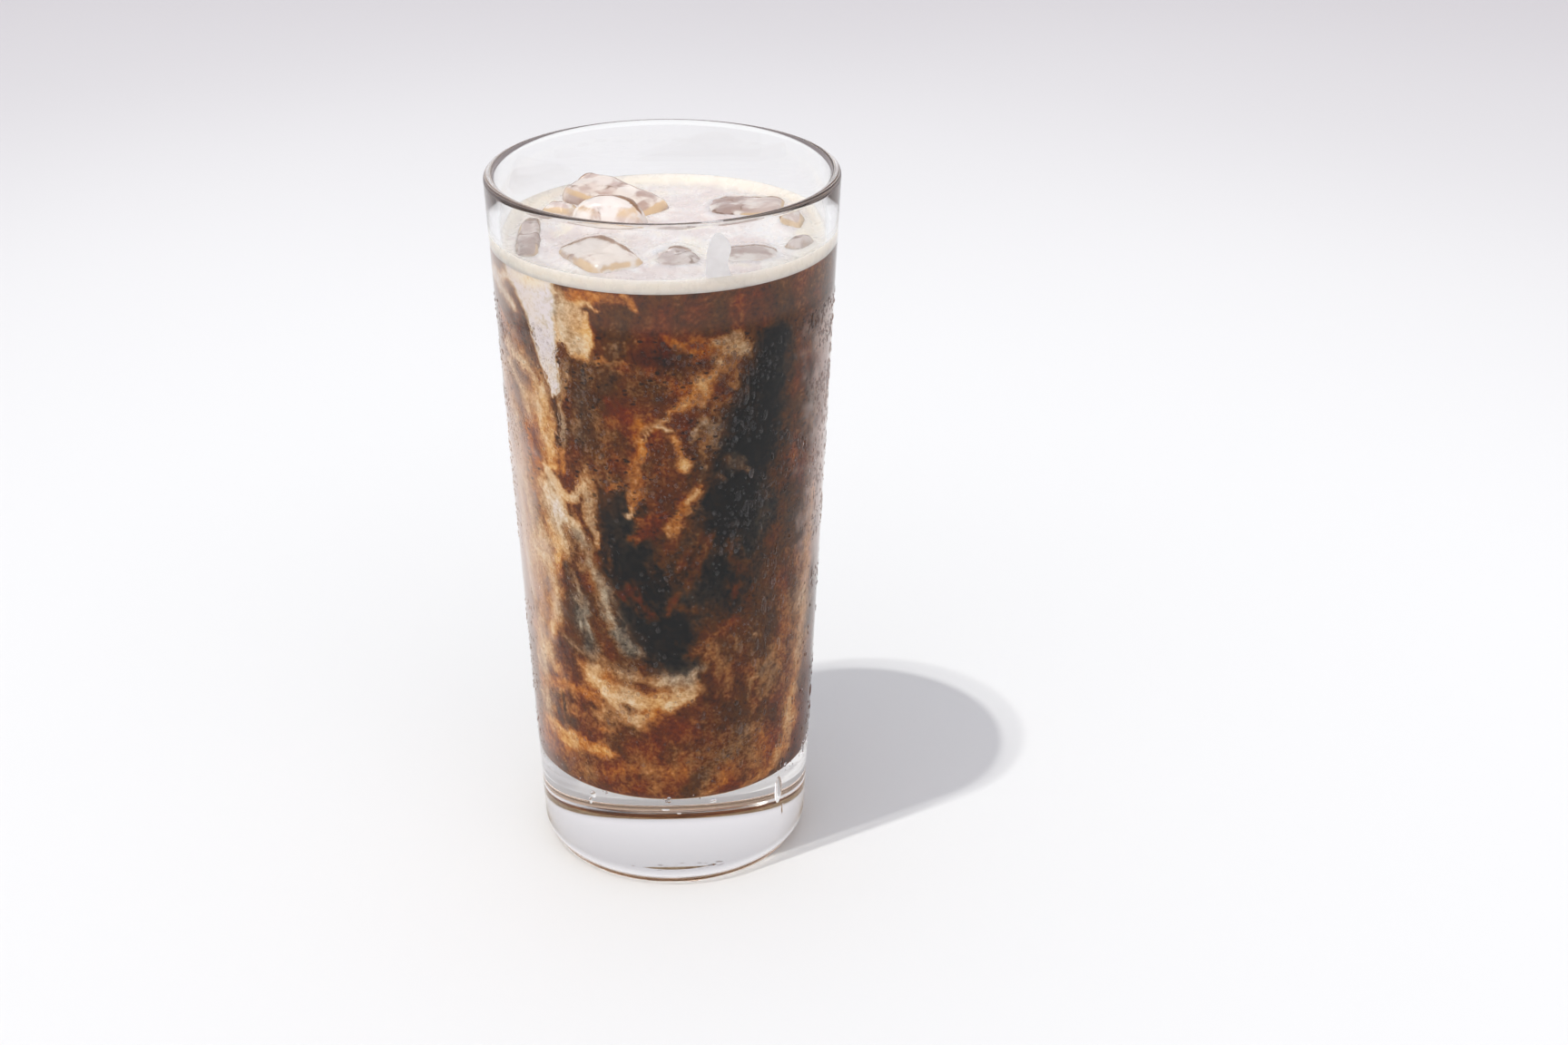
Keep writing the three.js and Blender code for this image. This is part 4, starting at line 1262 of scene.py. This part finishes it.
def joined(name, corners, faces, copies):
    """One mesh of many copies of a shape. copies holds each copy's own corners, in mm."""
    count = len(corners)
    mesh = bpy.data.meshes.new(name)
    sizes = np.array([len(face) for face in faces])
    loops = np.concatenate([np.array(face) for face in faces])
    every = np.arange(len(copies))[:, None]
    all_loops = (loops[None, :] + every * count).ravel()
    all_sizes = np.tile(sizes, len(copies))
    mesh.vertices.add(count * len(copies))
    mesh.vertices.foreach_set("co", (copies.reshape(-1) * MM))
    mesh.loops.add(len(all_loops))
    mesh.loops.foreach_set("vertex_index", all_loops)
    mesh.polygons.add(len(all_sizes))
    mesh.polygons.foreach_set("loop_start", np.concatenate(([0], np.cumsum(all_sizes)[:-1])))
    mesh.polygons.foreach_set("loop_total", all_sizes)
    mesh.update(calc_edges=True)
    mesh.validate()
    piece = bpy.data.objects.new(name, mesh)
    bpy.context.scene.collection.objects.link(piece)
    select_only(piece)
    bpy.ops.object.shade_smooth_by_angle(angle=math.radians(DROP_CREASE))
    return piece


def on_outside(corners, angle, height, wide, tall, thick, turn):
    """Copies of a shape laid on the glass's outside, its base sunk a little into the wall."""
    across = corners[None, :, 0] * wide[:, None]
    along = corners[None, :, 1] * tall[:, None]
    out = (corners[None, :, 2] - DROP_SINK) * thick[:, None]
    cos, sin = np.cos(turn)[:, None], np.sin(turn)[:, None]
    side = across * cos - along * sin
    up = across * sin + along * cos
    level = height[:, None] + up
    radius = outer_radius(level) + out
    around = np.radians(angle)[:, None] + side / outer_radius(height)[:, None]
    return np.stack((radius * np.sin(around), -radius * np.cos(around), level), axis=2)


class ICED_OT_condensation(bpy.types.Operator):
    """Scatters beads of water over the cold part of the glass"""

    bl_idname = "iced.condensation"
    bl_label = "Condensation"

    def execute(self, context):
        settings = context.scene.iced_wet
        water = water_material("water", WATER_CLEAR)
        # beads with painted shade
        beads = water_material("water_beads", BEAD_SHADE_ON_COFFEE, BEAD_SHADE_ON_MILK)
        draw = np.random.default_rng(SEED + 1)
        fine, coarse, runs = drop_cap(6, 5), drop_cap(8, 7), drop_cap(10, 9)
        # name, how many, shape, least and most half width in mm, stretch, degrees from which they lie
        kinds = (
            ("beads_fine", settings.fine, fine, 0.12, 0.26, 1.5, -180),
            ("beads_coarse", settings.coarse, coarse, 0.22, 0.6, 1.5, -180),
            ("beads_long", settings.long, runs, 0.32, 0.8, 3.0, 22),
        )
        for name, count, (corners, faces), least, most, stretch, start in kinds:
            tries = count * TRIES
            angle = draw.uniform(start, 180, tries)
            height = draw.uniform(BEADS_FROM, MIST_TOP - BEADS_BELOW_MIST, tries)
            flat = np.column_stack((np.radians(angle) * MEAN_RADIUS, height))
            patches = smooth(-0.5, 0.6, rough(round_wall(flat), BEAD_PATCHES, 70.0))
            chance = patches * (0.25 + 0.75 * smooth(*BEADS_THICKEN, height))
            keep = np.flatnonzero(draw.uniform(0, 1, tries) < chance)[:count]
            size = least + (most - least) * draw.uniform(0, 1, len(keep)) ** SMALL_MOST
            tall = size * draw.uniform(0.9, stretch, len(keep))
            turn = draw.uniform(-0.5, 0.5, len(keep)) / stretch
            copies = on_outside(corners, angle[keep], height[keep], size, tall, size, turn)
            piece = joined(name, corners, faces, copies)
            piece.data.materials.append(beads)
            finish_piece(piece, "glass")
        corners, faces = drop_cap(24, 18)
        angle, height, wide, tall = np.array(LOW_DROPS).T
        copies = on_outside(corners, angle, height, wide, tall, np.minimum(wide, tall), 0 * angle)
        piece = joined("drops_low", corners, faces, copies)
        piece.data.materials.append(water)
        finish_piece(piece, "glass")
        return {"FINISHED"}


PUDDLE_HEIGHT = 0.6  # mm that water stands up in the corner between foot and table
PUDDLE_REACH = 0.3  # mm that it reaches out from where it meets the glass
PUDDLE_INSIDE = 0.15  # mm that its inner face lies in the glass
PUDDLE_UNDER = -85  # degrees on the foot's round, where it starts under the glass
PUDDLE_SAG = 0.35  # how hollow its outer face is
PUDDLE_SIDES = 160
SWELL_ANGLE = 0.14  # radians from the front, where a drop of it stands out
SWELL_WIDE = 0.05
SWELL = 1.6
PUDDLE_UNEVEN = 0.5


class ICED_OT_puddle(bpy.types.Operator):
    """Spins the ring of water that stands in the corner between the foot and the table; its brown tint
    is painted contact shade along the foot
    """

    bl_idname = "iced.puddle"
    bl_label = "Puddle"

    def execute(self, context):
        middle = outer_radius(FOOT_ROUND) - FOOT_ROUND
        down = math.degrees(math.asin((FOOT_ROUND - PUDDLE_HEIGHT) / FOOT_ROUND))
        inner = arc(middle, FOOT_ROUND, FOOT_ROUND - PUDDLE_INSIDE, PUDDLE_UNDER, -down, 12)
        top = (middle + FOOT_ROUND * math.cos(math.radians(down)) + 0.02, PUDDLE_HEIGHT)
        edge = (top[0] + PUDDLE_REACH, 0.0)
        profile = list(inner)
        for part in np.linspace(0, 1, 9):
            sag = PUDDLE_SAG * math.sin(math.pi * part)
            across = top[0] + (edge[0] - top[0]) * part - sag * PUDDLE_REACH
            profile.append((across, top[1] * (1 - part) * (1 - sag)))
        profile += [(inner[0][0], 0.0), inner[0]]
        piece = spun("foot_puddle_shade", profile, PUDDLE_SIDES)
        places = corners_of(piece.data)
        angle = np.arctan2(places[:, 0], -places[:, 1])
        outward = np.maximum(np.hypot(places[:, 0], places[:, 1]) - top[0], 0)
        swell = SWELL * np.exp(-(((angle - SWELL_ANGLE) / SWELL_WIDE) ** 2))
        swell += PUDDLE_UNEVEN * rough(places, 8.0, 15.0)
        grown = 1 + outward * swell / np.hypot(places[:, 0], places[:, 1])
        move_corners(piece.data, places * np.column_stack((grown, grown, np.ones(len(grown)))))
        # brown tint as painted contact shade under the foot
        piece.data.materials.append(water_material("water_contact_shade", FOOT_CONTACT_SHADE))
        finish_piece(piece, "glass")
        return {"FINISHED"}


# where the painted highlight's streak lies
RUN_ANGLE = 17.3  # degrees from the front towards +X
RUN_BOTTOM = 142.2  # mm
RUN_TOP = 152.4
RUN_WIDE = 2.3  # half its width
RUN_THICK = 0.7
RUN_TAPER = 0.22  # share of its width that it loses from the middle to the top
RUN_WAVY = 0.12  # share that the width varies
RUN_SWAY = 0.3  # mm that its middle wanders
RUN_FOOT = 0.6  # mm that its foot bends to the right


class ICED_OT_highlight_streak(bpy.types.Operator):
    """Lays a pale streak on the inside of the wall, over the cream: a painted highlight shaped as a film
    of milk
    """

    bl_idname = "iced.milk_run"
    bl_label = "Highlight Streak"

    def execute(self, context):
        corners, faces = drop_cap(40, 30)
        across, along, out = corners.T
        across = across / np.sqrt(np.maximum(1 - along**2, 1e-4))
        width = RUN_WIDE * np.sqrt(np.maximum(1 - np.abs(along) ** 5, 0.0))
        width *= 1 - RUN_TAPER * along + RUN_WAVY * np.sin(5.0 * along)
        height = RUN_BOTTOM + (RUN_TOP - RUN_BOTTOM) * (along + 1) / 2
        side = across * width + RUN_SWAY * np.sin(3.5 * along) + RUN_FOOT * (along < 0) * along**2
        radius = inner_radius(height) + INTO_WALL - RUN_THICK * out / out.max()
        around = math.radians(RUN_ANGLE) + side / inner_radius(height)
        places = np.stack((radius * np.sin(around), -radius * np.cos(around), height), axis=1)
        piece = joined("milk_run", corners, faces, places[None])
        bpy.ops.object.mode_set(mode="EDIT")
        bpy.ops.mesh.select_all(action="SELECT")
        bpy.ops.mesh.normals_make_consistent(inside=False)
        bpy.ops.object.mode_set(mode="OBJECT")
        piece.data.materials.append(highlight_streak_material())
        finish_piece(piece, "cream")
        return {"FINISHED"}


# Stage

CAMERA_PLACE = (0.0, -500.3, 310.7)  # mm
CAMERA_TURN = 2.858  # degrees from +Y towards +X
CAMERA_DOWN = 25.269
CAMERA_ROLL = 0.075
CAMERA_LENS = 58.146  # mm
LAMP_UP = 68.1  # degrees above the floor
LAMP_TURN = 37.5  # degrees from -X towards -Y
LAMP_WIDTH = 1.0  # degrees across, which sets how soft the shadow is
LAMP_COLOUR = (1.0, 0.985, 0.93)
FRONT_FADE = (-0.1, -0.9)  # over which the room's light grows stronger towards the front
SENSOR = 36.0  # mm
NEAREST = 0.01  # m that the camera sees
FLOOR_DROP = 0.1  # mm under the foot, so that the two don't share a plane
FLOOR_SIZE = 8.0  # m


class ICED_OT_stage(bpy.types.Operator):
    """Lays the pale floor and sets the lamp, the room's light and the camera"""

    bl_idname = "iced.stage"
    bl_label = "Stage"

    def execute(self, context):
        settings = context.scene.iced_studio
        scene = context.scene
        bpy.ops.object.select_all(action="DESELECT")
        bpy.ops.mesh.primitive_plane_add(size=FLOOR_SIZE, location=(0, 0, -FLOOR_DROP * MM))
        floor = named(bpy.context.object, "floor")
        bpy.ops.object.transform_apply(location=True)
        floor.data.materials.append(floor_material())
        up, turn = math.radians(LAMP_UP), math.radians(LAMP_TURN)
        level = -math.cos(up)
        lamp_from = Vector((level * math.cos(turn), level * math.sin(turn), math.sin(up)))
        bpy.ops.object.light_add(type="SUN", location=lamp_from)
        lamp = bpy.context.object
        lamp.name = "lamp"
        lamp.rotation_euler = lamp_from.to_track_quat("Z", "Y").to_euler()
        lamp.data.energy = settings.sun
        lamp.data.angle = math.radians(LAMP_WIDTH)
        lamp.data.color = LAMP_COLOUR
        world = bpy.data.worlds.new("room")
        world.use_nodes = True
        tree = world.node_tree
        backdrop = tree.nodes["Background"]
        backdrop.inputs["Color"].default_value = (*settings.room_tint, 1.0)
        way = node(tree, "ShaderNodeTexCoord").outputs["Generated"]
        parts = node(tree, "ShaderNodeSeparateXYZ", {0: way}).outputs
        strength = fade(tree, parts["Z"], 0.0, 1.0, settings.room, settings.overhead)
        front = fade(tree, parts["Y"], *FRONT_FADE, 1.0, settings.front)
        strength = maths(tree, "MULTIPLY", strength, front)
        tree.links.new(strength, backdrop.inputs["Strength"])
        scene.world = world
        turn = Euler((math.radians(90 - CAMERA_DOWN), 0.0, -math.radians(CAMERA_TURN))).to_matrix()
        turn = turn @ Matrix.Rotation(math.radians(CAMERA_ROLL), 3, "Z")
        bpy.ops.object.camera_add(location=Vector(CAMERA_PLACE) * MM, rotation=turn.to_euler())
        camera = bpy.context.object
        camera.name = "camera"
        camera.data.sensor_width = SENSOR
        camera.data.lens = CAMERA_LENS
        camera.data.clip_start = NEAREST
        scene.camera = camera
        scene.view_settings.view_transform = "Standard"
        scene.view_settings.gamma = settings.contrast
        return {"FINISHED"}


class ICED_PT_panel(bpy.types.Panel):
    bl_label = "Iced Coffee"
    bl_idname = "ICED_PT_panel"
    bl_space_type = "VIEW_3D"
    bl_region_type = "UI"
    bl_category = "Iced Coffee"

    def draw(self, context):
        for operator in OPERATORS:
            self.layout.operator(operator.bl_idname)


SETTINGS = {
    "iced_glass": GlassSettings,
    "iced_drink": DrinkSettings,
    "iced_ice": IceSettings,
    "iced_wet": WetSettings,
    "iced_studio": StudioSettings,
}
OPERATORS = (
    ICED_OT_stage,
    ICED_OT_glass,
    ICED_OT_ice,
    ICED_OT_coffee,
    ICED_OT_cream,
    ICED_OT_highlight_streak,
    ICED_OT_condensation,
    ICED_OT_puddle,
)


def register():
    for name, group in SETTINGS.items():
        bpy.utils.register_class(group)
        setattr(bpy.types.Scene, name, bpy.props.PointerProperty(type=group))
    for kind in (*OPERATORS, ICED_PT_panel):
        bpy.utils.register_class(kind)


def unregister():
    for kind in (ICED_PT_panel, *reversed(OPERATORS)):
        bpy.utils.unregister_class(kind)
    for name, group in reversed(SETTINGS.items()):
        delattr(bpy.types.Scene, name)
        bpy.utils.unregister_class(group)


def main():
    register()
    bpy.ops.iced.stage()
    bpy.ops.iced.glass()
    bpy.ops.iced.ice()
    bpy.ops.iced.coffee()
    bpy.ops.iced.cream()
    bpy.ops.iced.milk_run()
    bpy.ops.iced.condensation()
    bpy.ops.iced.puddle()


if __name__ == "__main__":
    main()
